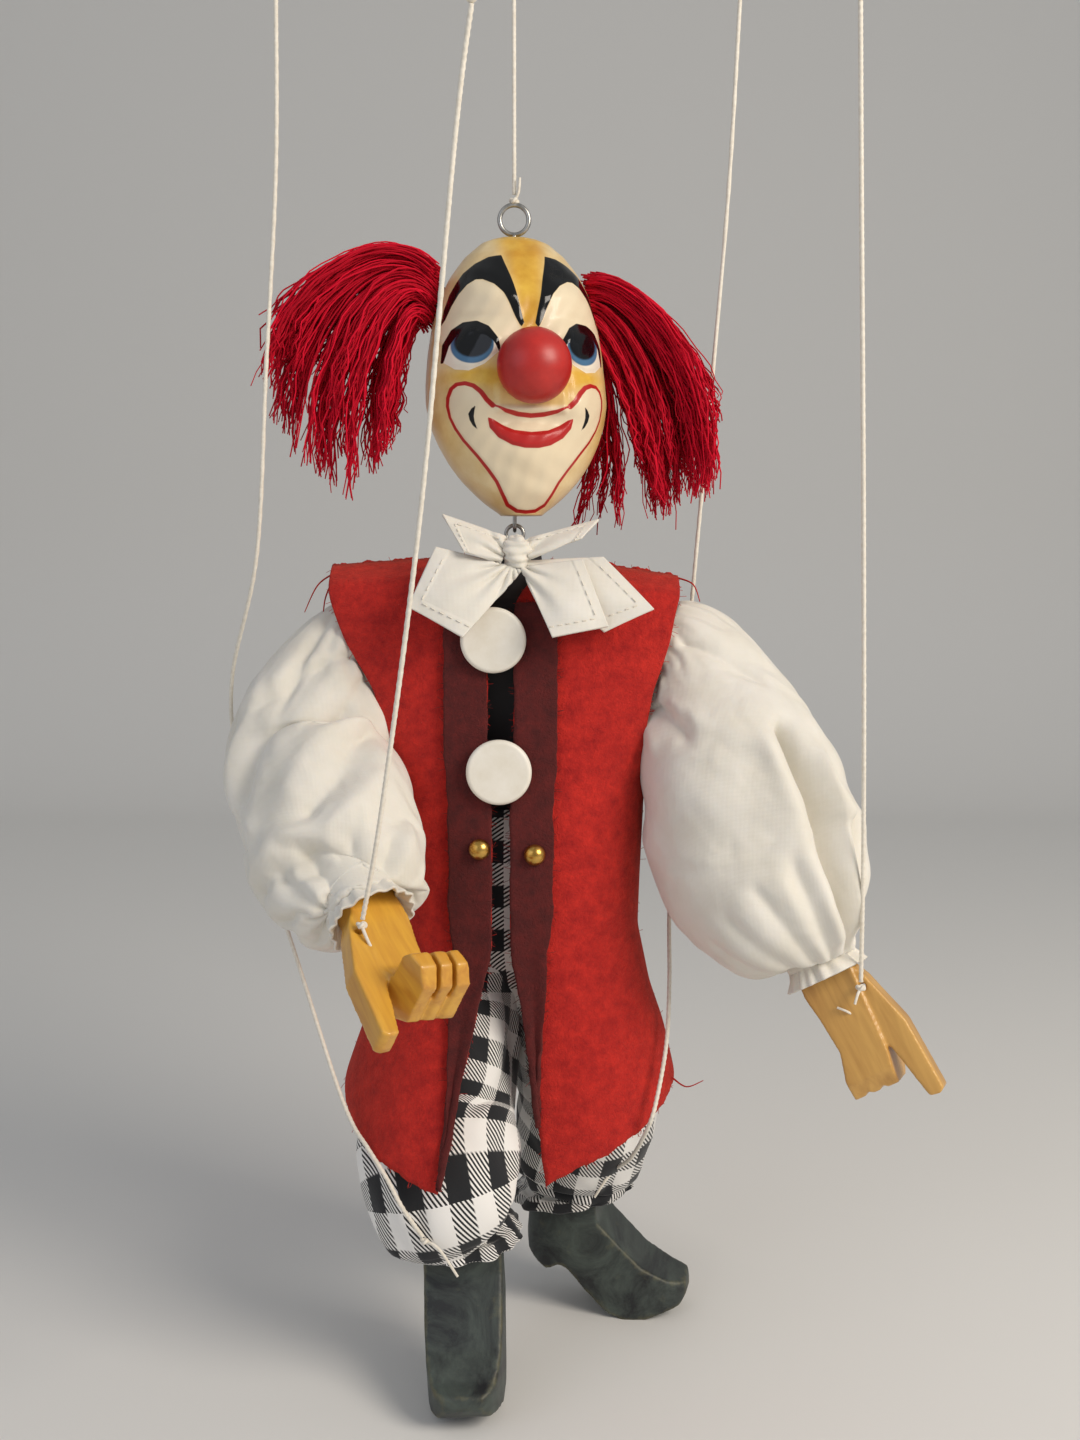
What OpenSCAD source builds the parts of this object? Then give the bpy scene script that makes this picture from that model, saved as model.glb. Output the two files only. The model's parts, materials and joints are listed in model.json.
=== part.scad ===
// Clown marionette: head, hands and boots of carved wood, linked by screw eyes, dressed in felt and cotton.
// Origin at the centre of the head string's loop, +Z up. The figure faces -Y and its own right side is at -X.

/* [Strings] */
// Drop from the head string's loop to the crown eye
string_drop = 66; // [50:1:100]
// Thickness of a string
string_d = 1.2; // [0.8:0.1:1.4]
// Radius of the loop at a string's upper end, to the middle of the string
loop_r = 3.5; // [3:0.5:6]
// Diameter of a tied knot
knot_d = 2.8; // [2.4:0.1:3.4]

/* [Wire fittings] */
// Wire thickness of the crown eye
crown_wire = 1.4; // [1.2:0.1:1.8]
// Radius of the crown eye, to the middle of its wire
crown_ring = 4.1; // [3.6:0.1:5]
// Wire thickness of the linking eyes
link_wire = 1.1; // [0.9:0.05:1.3]
// Radius of the linking eyes, to the middle of their wire
link_ring = 2.5; // [2.3:0.1:2.8]
// Free play between two linked eyes
link_play = 0.5; // [0.4:0.05:0.6]
// Length of an eye's shank in the wood
shank_l = 8; // [6:1:10]

/* [Head] */
// Height of the head, crown to chin
head_h = 78; // [70:1:90]
// Width of the head across the cheeks
head_w = 51; // [46:1:56]
// Depth of the head, brow to back
head_d = 51; // [46:1:56]
// Diameter of the ball nose
nose_d = 20; // [16:1:22]
// Turn of the head towards its own left
head_turn = 11; // [0:1:15]
// Gap between the chin and the neck's turning wire
neck_drop = 2.4; // [2:0.1:5]

/* [Trunk] */
// Height of the trunk block
trunk_h = 109; // [100:1:120]
// Width of the trunk at the shoulders
shoulder_w = 66; // [60:1:68]
// Width of the trunk at the hips
hip_w = 54; // [48:1:56]
// Depth of the trunk
trunk_d = 32; // [28:1:34]
// Distance between the hip joints
hip_span = 30; // [28:1:34]
// Drop of the shoulder eyes below the trunk's top
shoulder_drop = 17; // [15:1:20]

/* [Arms] */
// Shoulder joint to elbow joint
upper_arm_l = 52; // [48:1:56]
// Elbow joint to wrist
forearm_l = 57.5; // [54:0.5:62]
// Diameter of the arm dowels
arm_d = 11; // [9:0.5:12]
// Wrist to fingertips
hand_l = 39.5; // [36:0.5:44]
// Width of the hand at the wrist
wrist_w = 15; // [13:0.5:17]
// Thickness of the palm
palm_t = 8; // [7:0.5:10]
// Reach of the curled fingers in front of the palm's middle
curl_reach = 15; // [12:0.5:18]

/* [Legs] */
// Hip joint to knee joint
thigh_l = 70; // [66:1:74]
// Diameter of the thigh dowels
thigh_d = 15; // [12:0.5:17]
// Width of a boot
boot_w = 22; // [19:0.5:24]
// Length of a boot, heel to toe
boot_l = 50; // [46:1:53]
// Height of a boot, knee joint to sole
boot_h = 52.5; // [50:0.5:55]

/* [Costume] */
// Thickness of the felt
felt_t = 1.5; // [1:0.1:2]
// Thickness of the cotton
cotton_t = 1; // [0.8:0.1:1.4]
// Width of a lapel strip
lapel_w = 11.5; // [9:0.5:13]
// Gap between the vest's front edges
vest_gap = 7.4; // [5:0.2:9]
// Length of the vest's side, shoulder seam to hem
vest_l = 150; // [140:1:160]
// Diameter of the white buttons
button_d = 18; // [15:0.5:20]
// Thickness of the white buttons
button_t = 2.4; // [1.8:0.1:3]
// Diameter of the brass studs
stud_d = 5.4; // [4.5:0.1:7]
// Depth of the folds in the sleeves and trousers
fold_depth = 1.2; // [0.5:0.1:1.8]

/* [Hidden] */
$fn = 48;
// Clearance of a piece that sits against another
seat = 0.1;
// Clearance between cloth and what it hangs over
drape = 0.7;

// Colours
skin = "#ecd9b4";
crimson = "#b3121c";
red_felt = "#c01a20";
maroon_felt = "#5a0f1a";
white_cotton = "#efe9dc";
grey_check = "#6b6a6c";
raw_wood = "#d39b3f";
black_paint = "#26272a";
steel = "#b9bcc0";
brass = "#b98d3a";

// Heights down the figure
crown_z = -string_drop;
head_top = crown_z - crown_ring - crown_wire / 2;
chin_z = head_top - head_h;
neck_z = chin_z - neck_drop;
trunk_top = neck_z - 2 * link_ring - link_wire / 2 - seat;
trunk_bottom = trunk_top - trunk_h;
// Wood above a joint ends this far over its turning wire, and wood below starts this far under it
carry_gap = 2 * link_ring + link_wire / 2 + seat;
hang_gap = 2 * link_ring - link_wire / 2 - link_play + seat;

// Rest pose: pitch swings a limb forward, splay swings it to the figure's right, turn twists it
right_arm_pose = [15, 32.5];
right_forearm_pose = [52, -26.5];
left_arm_pose = [12, -28];
left_forearm_pose = [18, -25];
right_thigh_pose = [27, 0];
right_boot_pose = [-10, -2.5];
left_thigh_pose = [-13, -0.5];
left_boot_pose = [0, 0];
left_leg_turn = [40, 80];
right_hand_turn = 205;
left_hand_turn = -25;

// Turning points of the joints
shoulder_x = shoulder_w / 2 + seat + link_wire / 2 + link_ring;
right_shoulder = [-shoulder_x, 0, trunk_top - shoulder_drop - link_ring];
left_shoulder = [shoulder_x, 0, right_shoulder.z];
right_elbow = right_shoulder + upper_arm_l * limb_dir(right_arm_pose);
left_elbow = left_shoulder + upper_arm_l * limb_dir(left_arm_pose);
right_elbow_axis = cross(limb_dir(right_arm_pose), limb_dir(right_forearm_pose));
left_elbow_axis = cross(limb_dir(left_arm_pose), limb_dir(left_forearm_pose));
right_wrist = right_elbow + forearm_l * limb_dir(right_forearm_pose);
left_wrist = left_elbow + forearm_l * limb_dir(left_forearm_pose);
right_hip = [-hip_span / 2, 0, trunk_bottom - carry_gap];
left_hip = [hip_span / 2, 0, right_hip.z];
right_knee = right_hip + thigh_l * limb_dir(right_thigh_pose);
left_knee = left_hip + thigh_l * limb_dir(left_thigh_pose);

// Vest outlines, keyed by the drop below the trunk's top
hem_drop = vest_l + 5;
front_tip_drop = hem_drop + 24;
vest_half_width = [[3, 64], [20, 60], [41, 50], [55, 42], [66, 37], [110, 35], [128, 38.5], [140, 42.5],
    [hem_drop, 46], [front_tip_drop, 47]];
armhole_edge = [[3, 50], [14, 49], [27, 45], [41, 38.5], [55, 36], [66, 36.4]];
back_depth = [[3, 0.9], [6, 10], [10, 15], [14, 18], [26, 20.5], [66, 22], [110, 24.5], [hem_drop, 32]];
right_depth = [[3, 0.9], [6, 10], [10, 15.5], [14, 18.5], [26, 21.5], [60, 23.5], [100, 25], [118, 29],
    [136, 42], [150, 51.5], [157, 55.5], [front_tip_drop, 62]];
left_depth = [[3, 0.9], [6, 10], [10, 15.5], [14, 18.5], [26, 21.5], [60, 23.5], [100, 25], [140, 26.5],
    [front_tip_drop, 29]];
// The raised right leg spreads the hem on its side
right_flare = 3;
// The front opening lies a little to the figure's right, and its edges part towards the tips
opening_x = -3.6;
right_opening = [[3, 12], [16, vest_gap / 2], [110, vest_gap / 2], [135, 8.5], [front_tip_drop, 18]];
left_opening = [[3, 12], [16, vest_gap / 2], [110, vest_gap / 2], [135, 7], [front_tip_drop, 12.5]];
vest_power = 2.5;
armhole_bottom = 66;

// Sleeve stations: centre, half-size across the front, half-size front to back
right_sleeve_track = [
    [right_shoulder + [-5.5, -2, -8], 12, 8.5],
    [right_shoulder + [-13, -4, -12.5], 15, 10],
    [right_shoulder + [-20, -7, -23], 19.5, 15],
    [right_shoulder + [-26.3, -11, -36], 21.8, 19],
    [right_elbow + [9, -12.5, -7.5], 24, 21],
    [right_elbow + [16, -24, -18.5], 24, 20],
    [right_wrist + [-3, 7, 5.3], 20, 17],
    [right_wrist + [-1, 1.5, 1], 12.5, 12.5],
    [right_wrist, wrist_w / 2 + 3, wrist_w / 2 + 3],
    [right_wrist + 4 * limb_dir(right_forearm_pose), wrist_w / 2 + 5, wrist_w / 2 + 5]];
left_sleeve_track = [
    [left_shoulder + [5.5, -2, -8], 12, 8.5],
    [left_shoulder + [13, -4, -12.5], 15, 10],
    [left_shoulder + [20, -6, -24], 20, 15],
    [left_elbow + [2, -2, 3], 26, 24],
    [left_elbow + [8, -6, -18], 29, 26],
    [left_wrist + [-8, 3, 14], 25, 23],
    [left_wrist + [-2, 1, 4], 15, 14],
    [left_wrist, wrist_w / 2 + 3, wrist_w / 2 + 3],
    [left_wrist + 4 * limb_dir(left_forearm_pose), wrist_w / 2 + 5, wrist_w / 2 + 5]];

// Trouser leg stations: centre, half-size across, half-size front to back
right_leg_track = [
    [right_hip + [-1, -2, -13], 14, 16.5],
    [right_hip + [-1.5, -4, -18], 16, 18],
    [right_hip + [-4, -11, -29], 20, 19.5],
    [right_hip + [-6.5, -21, -44], 22.5, 20],
    [right_knee + [-5, -0.5, 6], 22, 19.5],
    [right_knee + [-2.5, 0, -4], 18.5, 17.5],
    [right_knee + [-0.7, 1, -10], 14.5, 14.5],
    [right_knee + [-0.5, 1.5, -15], 17.5, 17.5]];
left_leg_track = [
    [left_hip + [1, 1, -13], 13.5, 16.5],
    [left_hip + [2, 1.5, -18], 15, 17],
    [left_hip + [4.5, 3, -30], 18, 18],
    [left_hip + [6.5, 6, -47], 19.5, 19.5],
    [left_knee + [2.5, 0, 0], 19, 18.5],
    [left_knee + [1.5, 0, -8], 17, 16.5],
    [left_knee + [1, 0, -12], 14.7, 14.7],
    [left_knee + [1.3, 0, -15.5], 18.7, 18.7]];

// Hair stations beside the head: centre, half-size across, half-size front to back
right_hair_track = [
    [[-29.75, 1, crown_z - 11], 3, 4],
    [[-31.25, 1, crown_z - 15], 8, 8],
    [[-37.75, 1, crown_z - 28], 14.5, 12],
    [[-45.15, 0, crown_z - 46], 19.6, 14],
    [[-43.35, -1, crown_z - 63], 18.5, 13],
    [[-39.75, -1, crown_z - 76], 12, 10],
    [[-38.75, -1, crown_z - 84], 4, 5]];
left_hair_track = [
    [[26.65, 2, crown_z - 14], 2.5, 4],
    [[28.15, 2, crown_z - 18], 6, 8],
    [[33.65, 3, crown_z - 30], 10, 11],
    [[38.65, 3, crown_z - 46], 13, 12],
    [[40.15, 4, crown_z - 63], 14, 12],
    [[40.65, 5, crown_z - 76], 10, 9],
    [[39.65, 5, crown_z - 83], 4, 5]];

// String hole through the thumb's root: sideways from the middle of the hand, and below the wrist
string_hole = [8, 12.3];
// Radius of the string's bight over the crown eye's wire
bight_r = crown_wire / 2 + seat + string_d / 2;
// Points where the strings are tied on: through the hands' string holes, and to the trousers over the knees
right_hand_tie = limb_point(right_elbow, right_forearm_pose, hole_mouth(right_hand_turn, 1));
left_hand_tie = limb_point(left_elbow, left_forearm_pose, hole_mouth(left_hand_turn, -1));
right_knee_tie = right_knee + [-8.4, -19.1, -8];
left_knee_tie = left_knee + [13.8, -18, -2.5];

// String routes, from the loop's knot down to the tied end
head_tie = [0, 0, crown_z + crown_ring + bight_r + knot_d / 2];
head_route = tied([[0, 0, -loop_r - knot_d]], head_tie);
right_hand_route = tied([[-7, -110, -46], [-11, -104, -72], [-20, -90, -150], [-31, -75, -220]],
    right_hand_tie);
left_hand_route = tied([[84, -60, -28], [86, -56, -70], [90, -48, -150], [93.5, -40, -230]], left_hand_tie);
right_knee_route = tied([[-61, -30, -17], [-62, -29, -60], [-66, -26, -110], [-71, -18, -160], [-83, 4, -196],
    [-82, 6, -222], [-74, 3, -250], [-62, -12, -278], [-50, -30, -304], [-44, -39, -314], [-39, -46.5, -318],
    [-33.5, -52, -324], [-29, -55, -331]], right_knee_tie);
left_knee_route = tied([[63.5, 6, -4], [61, 9, -60], [56, 14, -130], [52, 18, -185], [49, 17, -230],
    [46, 6, -262], [45, -7, -283], [43.5, -17, -298], [40.5, -23, -312], [38, -25, -320],
    [34, -13, -334]], left_knee_tie);

function mix(a, b, t) = a + (b - a) * t;
function unit(v) = v / norm(v);

// Route that ends just short of the knot it is tied with
function tied(route, tie) =
    [each route, tie + unit(route[len(route) - 1] - tie) * (knot_d / 2 + 3 * seat)];

// Point q of a limb's own frame, carried to where the limb hangs
function limb_point(joint, pose, q) =
    let (
        x = q.x * cos(pose[1]) + q.z * sin(pose[1]),
        z = q.z * cos(pose[1]) - q.x * sin(pose[1])
    )
    joint + [x, q.y * cos(pose[0]) + z * sin(pose[0]), z * cos(pose[0]) - q.y * sin(pose[0])];

// Turn about a limb's own axis that lays its X along a direction given in the whole figure's frame
function limb_turn(pose, v) =
    let (
        y = v.y * cos(pose[0]) - v.z * sin(pose[0]),
        z = v.y * sin(pose[0]) + v.z * cos(pose[0])
    )
    atan2(y, v.x * cos(pose[1]) - z * sin(pose[1]));

// Middle of the knot over the string hole of a hand that is turned about its forearm, on its palm or its back
function hole_mouth(turn, face) =
    let (y = face * (palm_t / 2 + knot_d / 2 + seat))
    [string_hole.x * cos(turn) - y * sin(turn), string_hole.x * sin(turn) + y * cos(turn),
        -forearm_l - string_hole.y];

// Direction of a limb that hangs from its joint
function limb_dir(pose) =
    [-sin(pose[1]), -cos(pose[1]) * sin(pose[0]), -cos(pose[1]) * cos(pose[0])];

// Smooth curve through stations of [point, half-size, half-size], t from 0 to 1
function along(track, t) =
    let (
        last = len(track) - 1,
        i = min(floor(t * last), last - 1),
        f = t * last - i,
        a = track[max(i - 1, 0)], b = track[i], c = track[i + 1], d = track[min(i + 2, last)]
    )
    [for (k = [0:2])
        ((2 * b[k]) + (c[k] - a[k]) * f + (2 * a[k] - 5 * b[k] + 4 * c[k] - d[k]) * f * f
        + (3 * b[k] - a[k] - 3 * c[k] + d[k]) * f * f * f) / 2];

// Ring of points square to a track at t, drawn out by pleats that deepen towards both gathered ends
function pleated_ring(track, t, sides, pleats, depth, shrink) =
    let (
        s = along(track, t),
        ahead = unit(along(track, min(t + 0.02, 1))[0] - along(track, max(t - 0.02, 0))[0]),
        across = unit(cross([0, 1, 0], ahead)),
        back = cross(ahead, across)
    )
    [for (j = [0:sides - 1])
        let (
            angle = 360 * j / sides,
            pleat = depth * (cos(pleats * angle + 160 * t) + 0.6 * cos((pleats - 2) * angle - 90))
        )
        s[0] + across * cos(angle) * (s[1] - shrink + pleat) + back * sin(angle) * (s[2] - shrink + pleat)];

// Closed solid over a stack of rings that turn one way about their path, with a fan over each end
module loft(rings) {
    n = len(rings[0]);
    m = len(rings);
    first = m * n;
    middle = [for (r = [rings[0], rings[m - 1]]) [for (p = r) 1] * r / n];
    polyhedron(
        [for (r = rings) each r, each middle],
        [
            for (i = [0:m - 2], j = [0:n - 1])
                let (k = (j + 1) % n)
                each [[i * n + j, i * n + n + j, i * n + n + k], [i * n + j, i * n + n + k, i * n + k]],
            for (j = [0:n - 1])
                let (k = (j + 1) % n)
                each [[first, j, k], [first + 1, (m - 1) * n + k, (m - 1) * n + j]]
        ]);
}

// Open cloth tube with a wall: outer rings one way, inner rings back
module cloth_tube(outer, inner) {
    n = len(outer[0]);
    m = len(outer);
    rings = [each outer, for (i = [m - 1:-1:0]) inner[i]];
    polyhedron(
        [for (r = rings) each r],
        [for (i = [0:2 * m - 1], j = [0:n - 1])
            let (k = (j + 1) % n, up = (i + 1) % (2 * m))
            each [[i * n + j, up * n + j, up * n + k], [i * n + j, up * n + k, i * n + k]]]);
}

// Unit normal at every point of a grid
function grid_normals(grid) =
    let (rows = len(grid) - 1, cols = len(grid[0]) - 1)
    [for (r = [0:rows]) [for (c = [0:cols])
        unit(cross(
            grid[r][min(c + 1, cols)] - grid[r][max(c - 1, 0)],
            grid[min(r + 1, rows)][c] - grid[max(r - 1, 0)][c]))]];

// Sheet of thickness t with its middle on a grid of points
module sheet(grid, t) {
    rows = len(grid) - 1;
    cols = len(grid[0]) - 1;
    w = cols + 1;
    back = (rows + 1) * w;
    normals = grid_normals(grid);
    points = [for (side = [0.5, -0.5], r = [0:rows], c = [0:cols]) grid[r][c] + normals[r][c] * t * side];
    polyhedron(points, [
        for (r = [0:rows - 1], c = [0:cols - 1])
            let (a = r * w + c, b = a + w)
            each [[a, b, b + 1], [a, b + 1, a + 1],
                [back + a, back + b + 1, back + b], [back + a, back + a + 1, back + b + 1]],
        for (c = [0:cols - 1])
            let (a = c, b = rows * w + c)
            each [[a, a + 1, back + a + 1], [a, back + a + 1, back + a],
                [b + 1, b, back + b], [b + 1, back + b, back + b + 1]],
        for (r = [0:rows - 1])
            let (a = r * w, b = r * w + cols)
            each [[a + w, a, back + a], [a + w, back + a, back + a + w],
                [b, b + w, back + b + w], [b, back + b + w, back + b]]]);
}

// Screw eye with its ring's centre at the origin, hole along Y, shank downwards
module screw_eye(ring, wire) {
    rotate([90, 0, 0])
        rotate_extrude()
            translate([ring, 0])
                circle(d = wire);
    translate([0, 0, -ring - shank_l])
        cylinder(d = wire, h = shank_l);
}

// Eye of the piece above a joint: its lowest wire is the turning point
module carrying_eye() {
    translate([0, 0, link_ring])
        mirror([0, 0, 1])
            screw_eye(link_ring, link_wire);
}

// Eye of the piece below a joint, hooked over the turning point
module hanging_eye() {
    translate([0, 0, link_wire + link_play - link_ring])
        rotate([0, 0, 90])
            screw_eye(link_ring, link_wire);
}

// Hole for an eye's shank, downwards from the origin
module shank_hole() {
    translate([0, 0, -shank_l])
        cylinder(d = link_wire + 2 * seat, h = shank_l + 1);
}

// Places a limb at its joint in its rest pose
module limb_at(joint, pose, turn = 0) {
    translate(joint)
        rotate([-pose[0], 0, 0])
            rotate([0, pose[1], 0])
                rotate([0, 0, turn])
                    children();
}

// Turned dowel between two joints, with rounded ends and a hole for an eye at each end
module dowel(l, d) {
    round_r = d / 4;
    top = -hang_gap;
    bottom = carry_gap - l;
    difference() {
        rotate_extrude()
            union() {
                translate([0, bottom])
                    square([d / 2 - round_r, top - bottom]);
                translate([0, bottom + round_r])
                    square([d / 2, top - bottom - 2 * round_r]);
                for (z = [bottom + round_r, top - round_r])
                    translate([d / 2 - round_r, z])
                        circle(round_r);
            }
        translate([0, 0, top])
            shank_hole();
        translate([0, 0, bottom])
            mirror([0, 0, 1])
                shank_hole();
    }
}

module dowel_eyes(l, lower_turn = 0) {
    hanging_eye();
    translate([0, 0, -l])
        rotate([0, 0, lower_turn])
            carrying_eye();
}

// Half-width of the head's side at share t of its height below the crown
function head_side(t) = head_w / 2 * lookup(t,
    [[0, 0.2], [0.03, 0.38], [0.08, 0.56], [0.15, 0.72], [0.22, 0.82],
    [0.32, 0.91], [0.42, 0.96], [0.52, 0.99], [0.6, 1], [0.68, 0.96], [0.75, 0.88], [0.82, 0.77],
    [0.88, 0.64], [0.94, 0.47], [0.98, 0.34], [1, 0.28]]);
function head_front(t) = head_d * lookup(t,
    [[0, 0.06], [0.03, 0.17], [0.08, 0.26], [0.15, 0.35], [0.25, 0.43],
    [0.4, 0.48], [0.6, 0.5], [0.8, 0.47], [0.92, 0.42], [1, 0.33]]);
function head_back(t) = head_d * lookup(t,
    [[0, 0.06], [0.03, 0.17], [0.08, 0.27], [0.15, 0.36], [0.25, 0.45],
    [0.4, 0.5], [0.52, 0.47], [0.65, 0.36], [0.78, 0.22], [0.88, 0.1], [0.95, 0.01], [1, -0.09]]);

// Carved relief on the face: eyeballs, brow ridge, cheeks and muzzle
function swell(x, t, x0, t0, wide, tall) = exp(-pow((x - x0) / wide, 2) - pow((t - t0) * head_h / tall, 2));
function relief(x, t) =
    1.6 * (swell(x, t, -0.2 * head_w, 0.4, 5, 5) + swell(x, t, 0.2 * head_w, 0.4, 5, 5))
    + 1.2 * (swell(x, t, -0.18 * head_w, 0.24, 8, 4) + swell(x, t, 0.18 * head_w, 0.24, 8, 4))
    + 2.6 * (swell(x, t, -0.27 * head_w, 0.62, 7, 8) + swell(x, t, 0.27 * head_w, 0.62, 7, 8))
    + 2 * swell(x, t, 0, 0.78, 9, 7)
    - 1.4 * swell(x, t, 0, 0.68, 11, 2.2);

// Share of the head's height at which the nose sits
nose_at = 0.5;
nose_centre = [0, -head_front(nose_at) - nose_d * 0.26, head_top - nose_at * head_h];

module head_turned() {
    rotate([0, 0, head_turn])
        children();
}

module head_form() {
    sides = 36;
    steps = 34;
    loft([for (i = [0:steps])
        let (
            t = 1 - i / steps,
            half_w = head_side(t),
            front = head_front(t),
            rear = head_back(t)
        )
        [for (j = [0:sides - 1])
            let (
                angle = 360 * j / sides,
                x = half_w * sign(cos(angle)) * pow(abs(cos(angle)), 0.9),
                s = sign(sin(angle)) * pow(abs(sin(angle)), 0.9),
                middle = (rear - front) / 2,
                y = middle + s * (front + rear) / 2
            )
            [x, y - (s < -0.3 ? relief(x, t) : 0), head_top - t * head_h]]]);
}

staple_leg = 1.6;
staple_bend_z = neck_z - link_wire - link_play;
staple_top = chin_z + 13;

module staple_wire(wire, bend_z) {
    translate([0, 0, bend_z + staple_leg])
        rotate([0, 90, 0])
            rotate([0, 0, -90])
                rotate_extrude(angle = 180)
                    translate([staple_leg, 0])
                        circle(d = wire);
    for (y = [-staple_leg, staple_leg])
        translate([0, y, bend_z + staple_leg])
            cylinder(d = wire, h = staple_top - bend_z - staple_leg);
}

module head() {
    color(skin)
        difference() {
            head_turned()
                head_form();
            head_turned()
                translate(nose_centre)
                    sphere(d = nose_d + 2 * seat);
            translate([0, 0, crown_z - crown_ring - shank_l])
                cylinder(d = crown_wire + 2 * seat, h = shank_l);
            for (y = [-staple_leg, staple_leg])
                translate([0, y, chin_z])
                    cylinder(d = link_wire + 2 * seat, h = staple_top - chin_z + seat);
        }
}

module nose_ball() {
    color(crimson)
        head_turned()
            translate(nose_centre)
                sphere(d = nose_d);
}

module crown_eye() {
    color(steel)
        translate([0, 0, crown_z])
            screw_eye(crown_ring, crown_wire);
}

module chin_staple() {
    color(steel)
        staple_wire(link_wire, staple_bend_z);
}

module hair(track) {
    steps = 14;
    loft([for (i = [0:steps]) pleated_ring(track, i / steps, 15, 5, 0.4, 0)]);
}

module right_hair() {
    color(crimson)
        head_turned()
            hair(right_hair_track);
}

module left_hair() {
    color(crimson)
        head_turned()
            hair(left_hair_track);
}

// String along a route of points, round in section
module string_along(route) {
    sides = 8;
    last = len(route) - 1;
    loft([for (i = [0:last])
        let (
            ahead = unit(route[max(i - 1, 0)] - route[min(i + 1, last)]),
            across = unit(cross([0, 1, 0], ahead)),
            back = cross(ahead, across)
        )
        [for (j = [0:sides - 1])
            route[i] + (across * cos(360 * j / sides) + back * sin(360 * j / sides)) * string_d / 2]]);
}

// Loop and knot that end a string above its route's first point
module end_loop(start) {
    color(white_cotton)
        translate(start) {
            translate([0, 0, knot_d / 2 + seat])
                sphere(d = knot_d);
            translate([0, 0, knot_d + loop_r])
                rotate([90, 0, 0])
                    rotate_extrude()
                        translate([loop_r, 0])
                            circle(d = string_d);
        }
}

module head_string() {
    color(white_cotton)
        string_along(head_route);
}

module head_loop() {
    end_loop(head_route[0]);
}

module knot_at(place) {
    color(white_cotton)
        translate(place)
            sphere(d = knot_d);
}

// Bight and knot over the crown eye's top wire
module head_knot() {
    color(white_cotton)
        translate([0, 0, crown_z + crown_ring])
            rotate([0, 90, 0])
                rotate_extrude()
                    translate([bight_r, 0])
                        circle(d = string_d);
    knot_at(head_tie);
}

module trunk_form() {
    sides = 32;
    sections = [[0, 0.22, 0.36], [5, 0.24, 0.4], [9, 0.36, 0.5], [13, 0.76, 0.7], [15, 0.97, 0.84],
        [shoulder_drop, 1, 0.9], [shoulder_drop + 6, 1, 1], [40, 0.95, 1]];
    low = [[66, 1.03, 1], [trunk_h - 12, 1, 1], [trunk_h - 3, 0.97, 0.94], [trunk_h, 0.9, 0.84]];
    shape = [for (s = sections) [s[0], s[1] * shoulder_w / 2, s[2] * trunk_d / 2],
        for (s = low) [s[0], s[1] * hip_w / 2, s[2] * trunk_d / 2]];
    last = len(shape) - 1;
    loft([for (i = [last:-1:0])
        [for (j = [0:sides - 1])
            let (angle = 360 * j / sides)
            [shape[i][1] * sign(cos(angle)) * pow(abs(cos(angle)), 0.8),
                shape[i][2] * sign(sin(angle)) * pow(abs(sin(angle)), 0.8),
                trunk_top - shape[i][0]]]]);
}

module trunk() {
    color(black_paint)
        difference() {
            trunk_form();
            translate([0, 0, trunk_top])
                shank_hole();
            for (side = [-1, 1]) {
                translate([side * shoulder_w / 2, 0, trunk_top - shoulder_drop])
                    rotate([0, side * 90, 0])
                        shank_hole();
                translate([side * hip_span / 2, 0, trunk_bottom])
                    mirror([0, 0, 1])
                        shank_hole();
            }
        }
}

module neck_eye() {
    color(steel)
        translate([0, 0, neck_z - link_ring])
            screw_eye(link_ring, link_wire);
}

module shoulder_eyes() {
    color(steel)
        for (side = [-1, 1])
            translate([side * shoulder_x, 0, trunk_top - shoulder_drop])
                rotate([0, side * 90, 0])
                    screw_eye(link_ring, link_wire);
}

module hip_eyes() {
    color(steel)
        for (joint = [right_hip, left_hip])
            translate(joint)
                carrying_eye();
}

// Half-width of the vest at a drop, on the side given by its sign
function vest_width(side, drop) =
    lookup(drop, vest_half_width) + (side < 0 ? right_flare * max(drop - 130, 0) / 25 : 0);

// Point of the vest at a drop and an angle round from its side, on the side given by its sign
function vest_point(side, drop, angle, depth, lift) =
    let (w = vest_width(side, drop) + lift, d = lookup(drop, depth) + lift, p = 2 / vest_power)
    [side * w * pow(max(cos(angle), 0), p), d * pow(max(sin(angle), 0), p), trunk_top - drop];
function vest_angle(side, x, drop) =
    acos(min(pow(max(x, 0) / vest_width(side, drop), vest_power / 2), 1));

// Drop of the shoulder seam, and of the hem between side and front tip
function seam_drop(x) = 3 + 3.4 * x / 50;
seam_angle = 0.7;

// Front panel of the vest: columns from the front edge to the side, rows from hem to shoulder
function front_grid(side, opening, depth, tip, columns, rows, from_top, width) =
    [for (r = [0:rows]) [for (c = [0:columns])
        let (
            u = c / columns,
            v = r / rows,
            low = mix(tip, hem_drop, pow(u, 0.8)),
            high = max(from_top, seam_drop(mix(12, 50, u))),
            drop = mix(low, high, v),
            inner = lookup(drop, opening) + side * opening_x * min((drop - 3) / 11, 1),
            outer = width > 0 ? inner + width
                : drop < armhole_bottom ? lookup(drop, armhole_edge) : vest_width(side, drop),
            edge = vest_angle(side, abs(inner), drop),
            start = inner < 0 ? 180 - edge : edge,
            finish = width > 0 || drop < armhole_bottom ? vest_angle(side, outer, drop) : seam_angle,
            angle = mix(start, finish, u),
            flip = angle > 90 ? -1 : 1,
            p = vest_point(side * flip, drop, angle > 90 ? 180 - angle : angle, depth, 0)
        )
        [p.x, -p.y, p.z]]];

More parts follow.
